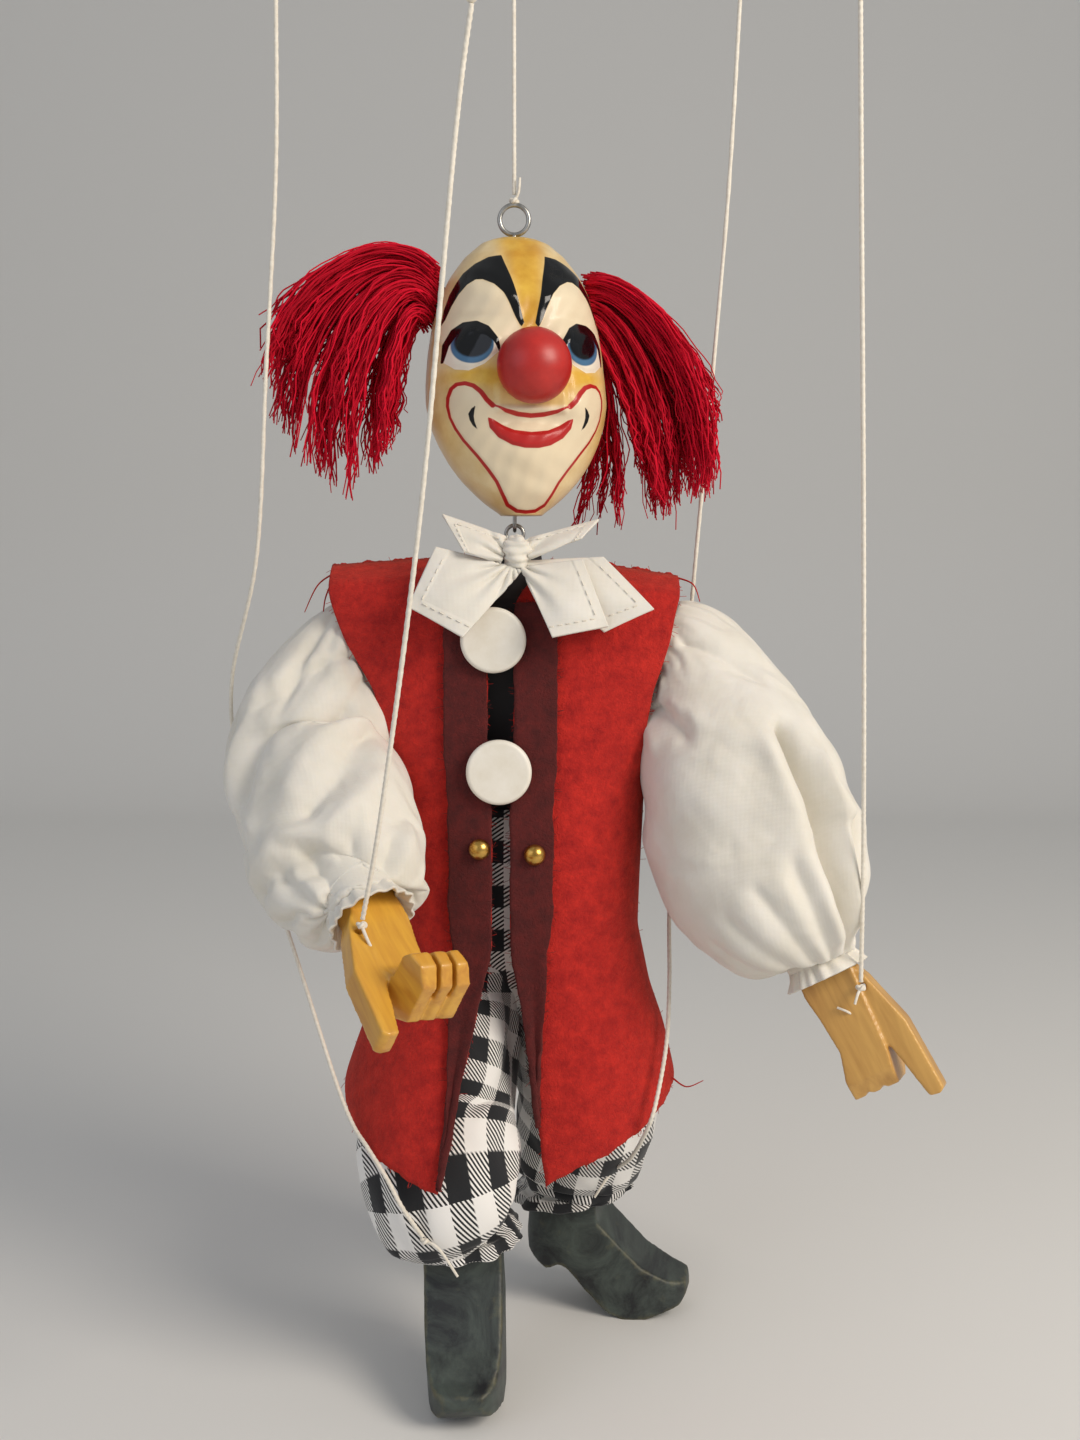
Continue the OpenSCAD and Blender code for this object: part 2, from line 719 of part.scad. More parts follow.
module vest_back() {
    columns = 14;
    rows = 12;
    grid = [for (r = [0:rows]) [for (c = [0:columns])
        let (
            u = 2 * c / columns - 1,
            neckline = 11 * max(1 - 3.2 * abs(u), 0),
            drop = mix(hem_drop, seam_drop(50 * abs(u)) + neckline, r / rows),
            finish = drop < armhole_bottom
                ? vest_angle(sign(u), lookup(drop, armhole_edge), drop)
                : seam_angle,
            fold = 1.2 * cos(540 * u) * max(drop - 90, 0) / hem_drop
        )
        vest_point(sign(u), drop, mix(90, finish, abs(u)), back_depth, fold)]];
    color(red_felt)
        sheet(grid, felt_t);
}

module right_vest_front() {
    color(red_felt)
        sheet(front_grid(-1, right_opening, right_depth, front_tip_drop - 9, 9, 16, 0, 0), felt_t);
}

module left_vest_front() {
    color(red_felt)
        sheet(front_grid(1, left_opening, left_depth, front_tip_drop, 9, 16, 0, 0), felt_t);
}

lapel_lift = felt_t + drape;

module lapel(side, opening, depth, tip) {
    grid = front_grid(side, opening, depth, tip, 3, 16, 16, lapel_w);
    normals = grid_normals(grid);
    color(maroon_felt)
        sheet([for (r = [0:len(grid) - 1]) grid[r] + side * lapel_lift * normals[r]], felt_t);
}

module right_lapel() {
    lapel(-1, right_opening, right_depth, front_tip_drop - 11);
}

module left_lapel() {
    lapel(1, left_opening, left_depth, front_tip_drop - 2);
}

// Front of the lapels at a drop below the trunk's top
function lapel_front(drop) = -lookup(drop, right_depth) - lapel_lift - felt_t / 2 - drape;

module disc_button(drop, x) {
    color("white")
        translate([x, lapel_front(drop) - seat, trunk_top - drop])
            rotate([90, 0, 0])
                rotate_extrude() {
                    square([button_d / 2 - button_t / 2, button_t]);
                    translate([button_d / 2 - button_t / 2, button_t / 2])
                        circle(d = button_t);
                }
}

module upper_button() {
    disc_button(26, -5.5);
}

module lower_button() {
    disc_button(62, -4);
}

module brass_studs() {
    color(brass)
        for (place = [[-9.4, 83.5], [5.8, 85]])
            translate([place.x, lapel_front(place.y) + 0.8, trunk_top - place.y])
                intersection() {
                    sphere(d = stud_d * 1.15);
                    translate([-stud_d, -stud_d - 0.8 - seat, -stud_d])
                        cube([2 * stud_d, stud_d, 2 * stud_d]);
                }
}

// Patch between four corners, swelling by bulge towards the front
function patch(a, b, c, d, bulge, n) =
    [for (r = [0:n]) [for (k = [0:n])
        mix(mix(a, b, k / n), mix(d, c, k / n), r / n)
            - [0, bulge * sin(180 * k / n) * sin(180 * r / n), 0]]];

bow_z = trunk_top - 2.7;

module bow_tie() {
    tie = [0, -20, bow_z - 2];
    // The band runs from the knot back to the trunk's neck
    band_l = -tie.y - 0.448 * trunk_d / 2 - 3 * seat;
    color(white_cotton) {
        sheet(patch(tie + [1, 1, -3], tie + [0, 0, 4],
            [-20, -19, bow_z + 8], [-22, -20, bow_z], 2, 4), cotton_t);
        sheet(patch(tie + [-1, 1, -3], tie + [0, 0, 4],
            [24, -19, bow_z + 6.5], [26, -20, bow_z - 2], 2, 4), cotton_t);
        sheet(patch(tie + [2, -3, -4], tie + [2, -4, 3],
            [-28, -27, bow_z - 13], [-14, -35, bow_z - 25], 3, 5), cotton_t);
        sheet(patch(tie + [-2, -2, -4], tie + [0, -3, 0],
            [24, -30, bow_z - 20], [11, -33, bow_z - 23], 2, 5), cotton_t);
        sheet(patch(tie + [-2, -1, 3], tie + [0, -5, -2],
            [25, -32, bow_z - 22], [38, -26, bow_z - 14], 3, 5), cotton_t);
        translate(tie + [0, -3, 0])
            rotate([90, 0, 0])
                rotate_extrude()
                    translate([3.4, 0])
                        circle(d = 4);
        translate(tie + [0, -3, 0])
            sphere(d = 8);
        translate(tie - [3, 0, 2])
            cube([6, band_l, 4]);
    }
}

// Cloth tube along a track, pleated at its gathers
module pleated_tube(track, steps, sides, pleats) {
    function deep(t) = fold_depth * (0.35 + 0.65 * pow(sin(180 * min(t * 1.05, 1)), 0.6));
    outer = [for (i = [0:steps]) pleated_ring(track, i / steps, sides, pleats, deep(i / steps), 0)];
    inner = [for (i = [0:steps]) pleated_ring(track, i / steps, sides, pleats, deep(i / steps), cotton_t)];
    cloth_tube(outer, inner);
}

module trouser_seat() {
    sides = 24;
    drops = [74, 92, trunk_h, trunk_h + 9];
    ease = [1.3, 0, 0, 0];
    function seat_ring(drop, shrink) =
        [for (j = [0:sides - 1])
            let (angle = 360 * j / sides, pleat = 0.5 * cos(8 * angle))
            [(hip_w / 2 + 4.4 + pleat - shrink) * sign(cos(angle)) * pow(abs(cos(angle)), 0.85),
                (trunk_d / 2 + 3.2 + pleat - shrink) * sign(sin(angle)) * pow(abs(sin(angle)), 0.85),
                trunk_top - drop]];
    last = len(drops) - 1;
    color(grey_check)
        cloth_tube([for (i = [last:-1:0]) seat_ring(drops[i], ease[i])],
            [for (i = [last:-1:0]) seat_ring(drops[i], ease[i] + cotton_t)]);
}

module right_sleeve() {
    color(white_cotton)
        pleated_tube(right_sleeve_track, 17, 19, 6);
}

module left_sleeve() {
    color(white_cotton)
        pleated_tube(left_sleeve_track, 17, 19, 6);
}

module right_trouser_leg() {
    color(grey_check)
        pleated_tube(right_leg_track, 13, 18, 6);
}

module left_trouser_leg() {
    color(grey_check)
        pleated_tube(left_leg_track, 13, 18, 6);
}

module right_upper_arm() {
    color(raw_wood)
        limb_at(right_shoulder, right_arm_pose)
            dowel(upper_arm_l, arm_d);
}

module left_upper_arm() {
    color(raw_wood)
        limb_at(left_shoulder, left_arm_pose)
            dowel(upper_arm_l, arm_d);
}

module right_upper_arm_eyes() {
    color(steel)
        limb_at(right_shoulder, right_arm_pose)
            dowel_eyes(upper_arm_l, limb_turn(right_arm_pose, right_elbow_axis));
}

module left_upper_arm_eyes() {
    color(steel)
        limb_at(left_shoulder, left_arm_pose)
            dowel_eyes(upper_arm_l, limb_turn(left_arm_pose, left_elbow_axis));
}

// Carved hand below the wrist: thumb towards +X, fingers curled towards +Y in three blocks
module carved_hand() {
    half = wrist_w / 2;
    finger_w = 13.5;
    thumb_l = hand_l + 6.5;
    plan = [[half, 1], [half, -9], [6.5, -31], [4.7, -hand_l], [4.7 - finger_w, -hand_l], [-8, 6 - hand_l],
        [-5.8, -26], [-6.8, -16], [-8, -9], [-half, 0], [-half, 1]];
    thumb = [[half - 2, -1], [10, -10], [14.6, -25], [15.5, 1 - thumb_l], [14, -thumb_l], [11, 0.4 - thumb_l],
        [7.8, -31], [5, -22]];
    profile = [[-palm_t / 2, 1], [-palm_t / 2 - 0.5, -20], [-palm_t / 2 - 0.5, 5 - hand_l], [-1, -hand_l],
        [curl_reach - 4, -hand_l], [curl_reach, 3.5 - hand_l], [curl_reach, 8 - hand_l],
        [curl_reach - 3, 10 - hand_l], [5, 10 - hand_l], [palm_t / 2 - 0.5, 14.5 - hand_l], [palm_t / 2, -10],
        [palm_t / 2 + 0.5, 1]];
    difference() {
        union() {
            intersection() {
                rotate([90, 0, 0])
                    linear_extrude(4 * curl_reach, center = true)
                        polygon(plan);
                rotate([90, 0, 90])
                    linear_extrude(4 * wrist_w, center = true)
                        polygon(profile);
            }
            rotate([90, 0, 0])
                linear_extrude(palm_t - 1, center = true)
                    polygon(thumb);
        }
        for (x = [4.7 - finger_w / 3, 4.7 - 2 * finger_w / 3])
            translate([x, -palm_t / 2 - 2, -hand_l])
                rotate([0, 45, 0])
                    cube([1.6, 2 * curl_reach, 1.6], center = true);
        for (x = [4.7 - finger_w / 3, 4.7 - 2 * finger_w / 3])
            translate([x - 0.5, palm_t / 2 + 2, -hand_l - 1])
                cube([1, 2 * curl_reach, 13]);
        translate([string_hole.x, 0, -string_hole.y])
            rotate([90, 0, 0])
                cylinder(d = string_d + 0.8, h = 2 * palm_t, center = true);
    }
}

// Forearm dowel and hand, carved from one piece
module forearm_and_hand(turn) {
    round_r = arm_d / 4;
    difference() {
        union() {
            rotate_extrude() {
                translate([0, -forearm_l])
                    square([arm_d / 2, forearm_l - hang_gap - round_r]);
                translate([0, -hang_gap - round_r])
                    square([arm_d / 2 - round_r, round_r]);
                translate([arm_d / 2 - round_r, -hang_gap - round_r])
                    circle(round_r);
            }
            translate([0, 0, -forearm_l])
                rotate([0, 0, turn])
                    carved_hand();
        }
        translate([0, 0, -hang_gap])
            shank_hole();
    }
}

module right_hand() {
    color(raw_wood)
        limb_at(right_elbow, right_forearm_pose)
            forearm_and_hand(right_hand_turn);
}

module left_hand() {
    color(raw_wood)
        limb_at(left_elbow, left_forearm_pose)
            forearm_and_hand(left_hand_turn);
}

module right_forearm_eye() {
    color(steel)
        limb_at(right_elbow, right_forearm_pose, limb_turn(right_forearm_pose, right_elbow_axis))
            hanging_eye();
}

module left_forearm_eye() {
    color(steel)
        limb_at(left_elbow, left_forearm_pose, limb_turn(left_forearm_pose, left_elbow_axis))
            hanging_eye();
}

module right_hand_knot() {
    knot_at(right_hand_tie);
}

module left_hand_knot() {
    knot_at(left_hand_tie);
}

module right_hand_string() {
    color(white_cotton)
        string_along(right_hand_route);
}

module left_hand_string() {
    color(white_cotton)
        string_along(left_hand_route);
}

module right_hand_loop() {
    end_loop(right_hand_route[0]);
}

module left_hand_loop() {
    end_loop(left_hand_route[0]);
}

module right_thigh() {
    color(raw_wood)
        limb_at(right_hip, right_thigh_pose)
            dowel(thigh_l, thigh_d);
}

module left_thigh() {
    color(raw_wood)
        limb_at(left_hip, left_thigh_pose, left_leg_turn[0])
            dowel(thigh_l, thigh_d);
}

module right_thigh_eyes() {
    color(steel)
        limb_at(right_hip, right_thigh_pose)
            dowel_eyes(thigh_l);
}

module left_thigh_eyes() {
    color(steel)
        limb_at(left_hip, left_thigh_pose, left_leg_turn[0])
            dowel_eyes(thigh_l);
}

// Boot and lower leg below the knee, carved from one block, toe towards -Y
module carved_boot() {
    peg_r = boot_w / 2 - 1;
    back = -boot_w / 2 + 1;
    toe = boot_l + back - 1.5;
    peg_top = -hang_gap;
    shaft_top = -13;
    sole = -boot_h;
    profile = [[back + 1, shaft_top], [back, -15], [back - 2, sole + 23.5], [back - 1, sole + 19],
        [back + 5, sole + 14.5], [back + 9.6, sole + 16.5], [back + 12.4, sole + 14.5],
        [back + 17.5, sole + 8.5], [back + 23.4, sole + 2.6], [back + 29, sole],
        [back + 35, sole + 0.3], [toe - 2.6, sole + 4.6], [toe, sole + 9], [toe - 1, sole + 12],
        [toe - 6, sole + 12.9], [toe - 14, sole + 17],
        [toe - 20.6, sole + 23.5], [-back + 1, -22], [-back, shaft_top]];
    plan = [for (a = [0:15:345])
        let (reach = cos(a) > 0 ? toe : 2 - back, p = cos(a) > 0 ? 0.55 : 0.75)
        [sign(cos(a)) * pow(abs(cos(a)), p) * reach, sign(sin(a)) * pow(abs(sin(a)), p) * boot_w / 2]];
    difference() {
        union() {
            intersection() {
                rotate([90, 0, -90])
                    linear_extrude(2 * boot_w, center = true)
                        polygon(profile);
                rotate([0, 0, -90])
                    translate([0, 0, -2 * boot_h])
                        linear_extrude(2 * boot_h)
                            polygon(plan);
            }
            translate([0, 0, -20])
                cylinder(r1 = peg_r, r2 = peg_r - 2, h = 20 + peg_top);
        }
        translate([0, 0, peg_top])
            shank_hole();
    }
}

module right_boot() {
    color(black_paint)
        limb_at(right_knee, right_boot_pose)
            carved_boot();
}

module left_boot() {
    color(black_paint)
        limb_at(left_knee, left_boot_pose, left_leg_turn[1])
            carved_boot();
}

module right_boot_eye() {
    color(steel)
        limb_at(right_knee, right_boot_pose)
            hanging_eye();
}

module left_boot_eye() {
    color(steel)
        limb_at(left_knee, left_boot_pose, left_leg_turn[1])
            hanging_eye();
}

module right_knee_knot() {
    knot_at(right_knee_tie);
}

module left_knee_knot() {
    knot_at(left_knee_tie);
}

module right_knee_string() {
    color(white_cotton)
        string_along(right_knee_route);
}

module left_knee_string() {
    color(white_cotton)
        string_along(left_knee_route);
}

module right_knee_loop() {
    end_loop(right_knee_route[0]);
}

module left_knee_loop() {
    end_loop(left_knee_route[0]);
}

head();
nose_ball();
crown_eye();
chin_staple();
right_hair();
left_hair();
head_string();
head_knot();
head_loop();
trunk();
neck_eye();
shoulder_eyes();
hip_eyes();
vest_back();
right_vest_front();
left_vest_front();
right_lapel();
left_lapel();
bow_tie();
upper_button();
lower_button();
brass_studs();
trouser_seat();
right_upper_arm();
right_upper_arm_eyes();
right_sleeve();
right_hand();
right_forearm_eye();
right_hand_knot();
right_hand_string();
right_hand_loop();
left_upper_arm();
left_upper_arm_eyes();
left_sleeve();
left_hand();
left_forearm_eye();
left_hand_knot();
left_hand_string();
left_hand_loop();
right_thigh();
right_thigh_eyes();
right_trouser_leg();
right_knee_knot();
right_boot();
right_boot_eye();
right_knee_string();
right_knee_loop();
left_thigh();
left_thigh_eyes();
left_trouser_leg();
left_knee_knot();
left_boot();
left_boot_eye();
left_knee_string();
left_knee_loop();
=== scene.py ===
# %% [markdown]
# # Dressing a clown marionette
#
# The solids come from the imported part: wood, wire and plain cloth shapes in one frame, in metres.
# This lesson lays the looks over them. The strings come first, because all else hangs from them,
# then the carved and painted head, the yarn hair, the clothes, the wooden hands and boots, and the
# small trim.

# %% The frame and its joints
import json

import bmesh
import bpy
import numpy as np
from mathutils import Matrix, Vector


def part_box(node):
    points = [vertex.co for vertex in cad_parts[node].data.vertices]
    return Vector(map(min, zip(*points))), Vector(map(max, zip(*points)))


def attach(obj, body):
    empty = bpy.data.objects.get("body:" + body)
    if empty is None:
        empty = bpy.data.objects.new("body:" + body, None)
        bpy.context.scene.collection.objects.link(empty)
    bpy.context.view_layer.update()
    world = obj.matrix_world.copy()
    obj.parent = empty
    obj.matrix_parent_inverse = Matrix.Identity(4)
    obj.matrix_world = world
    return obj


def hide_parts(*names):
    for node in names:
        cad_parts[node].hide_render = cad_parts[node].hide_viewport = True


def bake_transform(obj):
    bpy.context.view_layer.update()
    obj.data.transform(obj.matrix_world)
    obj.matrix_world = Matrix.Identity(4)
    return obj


MM = 0.001
SIDES = ("right", "left")
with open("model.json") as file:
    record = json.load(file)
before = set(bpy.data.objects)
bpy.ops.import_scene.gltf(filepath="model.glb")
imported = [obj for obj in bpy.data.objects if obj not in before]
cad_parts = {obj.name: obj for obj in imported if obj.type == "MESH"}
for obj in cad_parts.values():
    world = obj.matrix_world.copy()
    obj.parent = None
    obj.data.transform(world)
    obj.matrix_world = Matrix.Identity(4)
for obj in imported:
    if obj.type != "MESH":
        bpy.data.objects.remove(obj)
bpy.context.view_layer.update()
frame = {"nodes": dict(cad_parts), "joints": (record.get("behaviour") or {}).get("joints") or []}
nodes = frame["nodes"]
turning = {j["name"]: np.array(j["pos_m"]) / MM for j in frame["joints"]}

# %% [markdown]
# ## Shared tools
#
# Every new piece is a grid of points that numpy works out at once. One function turns such a grid,
# or a stack of them, into a mesh. One function adds a shader node with its settings and links.
# Colours are written as sRGB hex, as a paint chart gives them, and one function makes them linear.


# %% Grid to mesh
def surface(name, grid, ring=False, caps=False, uv=None):
    """Mesh over a grid of points in mm, or over a stack of grids.

    Each point is joined to the next row and the next column by a four-sided face. ring joins the
    last column to the first, and caps closes both ends of a ring with a fan round its middle
    point."""
    stack = grid if grid.ndim == 4 else grid[None]
    count, rows, columns = stack.shape[:3]
    points = stack.reshape(-1, 3)
    index = np.arange(len(points)).reshape(count, rows, columns)
    index = np.concatenate([index, index[:, :, :1]], axis=2) if ring else index
    corners = (index[:, :-1, :-1], index[:, :-1, 1:], index[:, 1:, 1:], index[:, 1:, :-1])
    faces = np.stack(corners, axis=-1).reshape(-1, 4).tolist()
    if caps:
        first = len(points) + np.arange(count)
        last = first + count
        points = np.concatenate([points, stack[:, 0].mean(1), stack[:, -1].mean(1)])
        start, end = index[:, 0], index[:, -1]
        hub = np.broadcast_to(first[:, None], start[:, 1:].shape)
        faces += np.stack([start[:, 1:], start[:, :-1], hub], axis=-1).reshape(-1, 3).tolist()
        hub = np.broadcast_to(last[:, None], end[:, 1:].shape)
        faces += np.stack([end[:, :-1], end[:, 1:], hub], axis=-1).reshape(-1, 3).tolist()
    mesh = bpy.data.meshes.new(name)
    mesh.from_pydata((points * MM).tolist(), [], faces)
    if uv is not None:
        uv = uv if uv.ndim == 4 else uv[None]
        quads = np.stack((uv[:, :-1, :-1], uv[:, :-1, 1:], uv[:, 1:, 1:], uv[:, 1:, :-1]), axis=-2)
        flat = np.zeros((len(mesh.loops), 2), np.float32)
        flat[:quads.size // 2] = quads.reshape(-1, 2)
        mesh.uv_layers.new(name="cloth").data.foreach_set("uv", flat.ravel())
    mesh.shade_smooth()
    obj = bpy.data.objects.new(name, mesh)
    bpy.context.scene.collection.objects.link(obj)
    print(name, len(mesh.vertices), "points")
    return obj


def face_out(obj):
    """Turns the faces of a closed piece outwards."""
    bm = bmesh.new()
    bm.from_mesh(obj.data)
    bmesh.ops.recalc_face_normals(bm, faces=bm.faces)
    bm.to_mesh(obj.data)
    bm.free()
    return obj


def solid(name, grid):
    """Closed piece over rings of points, or over a stack of them, with its faces outwards."""
    return face_out(surface(name, grid, ring=True, caps=True))


def store(obj, name, values):
    """Keeps one number per point of a mesh, for its material to read."""
    numbers = np.zeros(len(obj.data.vertices), np.float32)
    numbers[:values.size] = values.ravel()
    obj.data.attributes.new(name, "FLOAT", "POINT").data.foreach_set("value", numbers)


# %% Curves, tubes and smooth tables
def unit(v):
    """v divided by its own length, along the last axis."""
    return v / np.maximum(np.linalg.norm(v, axis=-1, keepdims=True), 1e-9)


def through(points, count):
    """Even count of places on a Catmull-Rom curve through points: each span is a cubic whose slope
    at a point is half the step from the point before it to the point after it."""
    p, t = np.asarray(points, float), np.linspace(0, 1, count)
    last = len(p) - 1
    i = np.minimum((t * last).astype(int), last - 1)
    f = (t * last - i)[:, None]
    a, b, c, d = p[np.maximum(i - 1, 0)], p[i], p[i + 1], p[np.minimum(i + 2, last)]
    square, cube = 2 * a - 5 * b + 4 * c - d, 3 * b - a - 3 * c + d
    return (2 * b + (c - a) * f + square * f**2 + cube * f**3) / 2


def line_length(points):
    """Sum of the steps from point to point."""
    return np.linalg.norm(np.diff(points, axis=0), axis=1).sum()


def tube(path, radius, sides, lobes=0, pitch=1.0, depth=0.0):
    """Round profile carried along a path: the ring at each point lies square to the path.

    lobes plies of the given depth wind round it once in each pitch, as in twisted thread."""
    ahead = unit(np.gradient(path, axis=-2))
    across = unit(np.cross(ahead, [0.03, 1, 0.02]))
    up = np.cross(across, ahead)
    steps = np.diff(path, axis=-2, prepend=path[..., :1, :])
    run = np.cumsum(np.linalg.norm(steps, axis=-1), axis=-1)
    angle = np.linspace(0, 2 * np.pi, sides, endpoint=False)
    ply = 1 + depth * np.cos(lobes * (angle - 2 * np.pi * run[..., None] / pitch))
    r = np.asarray(radius)[..., None] * ply
    ring = across[..., None, :] * np.cos(angle)[:, None] + up[..., None, :] * np.sin(angle)[:, None]
    return path[..., None, :] + ring * r[..., None]


def read(table, at, blur=0.0):
    """Value of a table of [key, value] rows at the keys in at, with its corners rounded over
    blur."""
    keys, values = np.array(table, float).T
    if not blur:
        return np.interp(at, keys, values)
    offsets = np.linspace(-1.5, 1.5, 9)
    weight = np.exp(-offsets**2) / np.exp(-offsets**2).sum()
    return sum(w * np.interp(at + o * blur, keys, values) for o, w in zip(offsets, weight))


def step(x, low, high):
    """Smooth step from 0 at low to 1 at high."""
    t = np.clip((x - low) / (high - low), 0, 1)
    return t * t * (3 - 2 * t)


def squared(wave, power):
    """Wave made fuller: its size to a power below 1, with its own sign."""
    return np.sign(wave) * np.abs(wave) ** power


# %% Shader tools
def linear(code):
    """Linear colour of an sRGB hex code."""
    srgb = np.array([int(code[i:i + 2], 16) for i in (1, 3, 5)]) / 255
    value = np.where(srgb <= 0.04045, srgb / 12.92, ((srgb + 0.055) / 1.055) ** 2.4)
    return (*map(float, value), 1.0)


def add(tree, kind, inputs=None, **settings):
    """One shader node: settings are its properties, inputs its sockets with a value or a link
    each."""
    made = tree.nodes.new("ShaderNode" + kind)
    for key, value in settings.items():
        setattr(made, key, value)
    for key, value in (inputs or {}).items():
        if isinstance(value, bpy.types.NodeSocket):
            tree.links.new(value, made.inputs[key])
        else:
            made.inputs[key].default_value = value
    return made


def begin(name, **sockets):
    """New material with one principled shader whose named sockets are set."""
    material = bpy.data.materials.new(name)
    material.use_nodes = True
    tree = material.node_tree
    tree.nodes.clear()
    shader = add(tree, "BsdfPrincipled", {k.replace("_", " "): v for k, v in sockets.items()})
    add(tree, "OutputMaterial", {"Surface": shader.outputs[0]})
    return material, tree, shader


def own_place(tree):
    """Place on the piece itself, in metres."""
    return add(tree, "TexCoord").outputs["Object"]


def calc(tree, operation, *values):
    """Number worked out from one or two values or links."""
    return add(tree, "Math", dict(enumerate(values)), operation=operation).outputs[0]


def noise(tree, place, scale, detail, roughness=0.5, distortion=0.0):
    """Cloudy number: smooth noise summed over octaves that halve in size, scale to the metre."""
    return add(tree, "TexNoise", {"Vector": place, "Scale": scale, "Detail": detail,
                                  "Roughness": roughness, "Distortion": distortion}).outputs["Fac"]


def ramp(tree, value, dark, light, low=0.0, high=1.0):
    """Colour that runs from dark where value is low to light where it is high."""
    made = add(tree, "ValToRGB", {"Fac": value})
    for stop, at, code in zip(made.color_ramp.elements, (low, high), (dark, light)):
        stop.position, stop.color = at, linear(code)
    return made.outputs[0]


def spread(tree, value, low, high, **limits):
    """Number that runs from low to high while value runs from 0 to 1, or between other limits."""
    return add(tree, "MapRange", {"Value": value, "To Min": low, "To Max": high,
                                  **{k.replace("_", " "): v for k, v in limits.items()}}).outputs[0]


def over(tree, below, colour, mask):
    """Colour laid over another where the mask is 1."""
    return add(tree, "Mix", {0: mask, 6: below, 7: colour}, data_type="RGBA").outputs[2]


def feed(tree, shader, colour, height, strength, distance, rough=None, **sockets):
    """Links a shader's colour, its roughness if that varies, and the bump that a height gives
    it."""
    relief = {"Height": height, "Strength": strength, "Distance": distance, **sockets}
    bump = add(tree, "Bump", relief)
    tree.links.new(colour, shader.inputs["Base Color"])
    tree.links.new(bump.outputs[0], shader.inputs["Normal"])
    if rough is not None:
        tree.links.new(rough, shader.inputs["Roughness"])


def dress(obj, material):
    """Gives a piece its material."""
    obj.data.materials.clear()
    obj.data.materials.append(material)
    return obj


# %% [markdown]
# ## Camera
#
# The figure was seen from straight ahead and a little above its middle, from under half a metre
# away. The sensor's 36 mm spans the taller side of the picture.

# %% Camera
VIEW_DISTANCE = 440
VIEW_SIDE = 7.25
VIEW_HEIGHT = -161.2
VIEW_DOWN = 6
LENS, SENSOR = 38, 36

camera_data = bpy.data.cameras.new("view")
camera_data.lens = LENS
camera_data.sensor_width = SENSOR
camera_data.clip_start = 0.01
camera = bpy.data.objects.new("view", camera_data)
camera.location = (VIEW_SIDE * MM, -VIEW_DISTANCE * MM, VIEW_HEIGHT * MM)
camera.rotation_euler = (np.radians(90 - VIEW_DOWN), 0, 0)
bpy.context.scene.collection.objects.link(camera)
bpy.context.scene.camera = camera
bpy.context.scene.view_settings.view_transform = "Standard"
print("camera", VIEW_DISTANCE, "mm away")

# %% [markdown]
# ## Light and floor
#
# A pale sheet of card stands in for the table and sweeps up behind the figure. A large warm lamp on
# the right and a weak cool fill on the left give the soft shadows of window light.

# %% Floor and lamps
FLOOR_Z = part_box("right_boot")[0].z / MM - 1.5
SWEEP_NEAR, SWEEP_START, SWEEP_R, SWEEP_TOP, SWEEP_HALF = -1600, 900, 300, 3000, 5000
LAMP_AIM = (0, 0, -200)

turn = np.radians(np.linspace(0, 90, 24))
outline = np.concatenate([
    [[SWEEP_NEAR, 0]],
    np.stack([SWEEP_START + SWEEP_R * np.sin(turn), SWEEP_R * (1 - np.cos(turn))], axis=-1),
    [[SWEEP_START + SWEEP_R, SWEEP_TOP]]])
wide = np.linspace(-SWEEP_HALF, SWEEP_HALF, 9)
sweep = np.stack(np.broadcast_arrays(wide, outline[:, :1], FLOOR_Z + outline[:, 1:]), axis=-1)
floor = surface("floor_card", sweep)
floor.data.materials.append(begin("matt_card", Roughness=0.9, Base_Color=linear("#e2e1de"))[0])


def lamp(name, place, aim, size, power, colour):
    """Square area lamp at a place in mm, turned to face a point."""
    data = bpy.data.lights.new(name, "AREA")
    data.size = size * MM
    data.energy = power
    data.color = linear(colour)[:3]
    obj = bpy.data.objects.new(name, data)
    ray = np.array(aim, float) - np.array(place, float)
    obj.location = np.array(place) * MM
    tilt, bearing = np.arccos(-ray[2] / np.linalg.norm(ray)), np.arctan2(ray[1], ray[0])
    obj.rotation_euler = (tilt, 0, bearing - np.pi / 2)
    bpy.context.scene.collection.objects.link(obj)


lamp("window", (620, -520, 240), LAMP_AIM, 440, 6.6, "#fff5e8")
lamp("fill", (-620, -640, 120), LAMP_AIM, 700, 1.2, "#e6edff")
world = bpy.data.worlds.new("studio")
world.use_nodes = True
world.node_tree.nodes["Background"].inputs[0].default_value = linear("#e9ebee")
world.node_tree.nodes["Background"].inputs[1].default_value = 0.45
bpy.context.scene.world = world
print("floor at", round(FLOOR_Z, 1))

# %% [markdown]
# ## Strings
#
# The five strings are bleached cotton thread, two plies twisted together. Each runs taut from its
# tie to a small loop just above the picture, where a hand control would hold it. The routes are the
# same points as the solids', read from the tie upwards.

# %% Cotton thread
STRING_D = 1.2

thread, tree, shader = begin("bleached_cotton_thread", Roughness=0.85, Sheen_Weight=0.3)
place = own_place(tree)
tone = ramp(tree, noise(tree, place, 900.0, 3.0), "#cfc6b4", "#f7f2e6")
tree.links.new(tone, shader.inputs["Base Color"])


# %% String routes
def tie_point(node):
    """Middle of a knot's box, in mm."""
    low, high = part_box(node)
    return (np.array(low) + np.array(high)) / 2 / MM


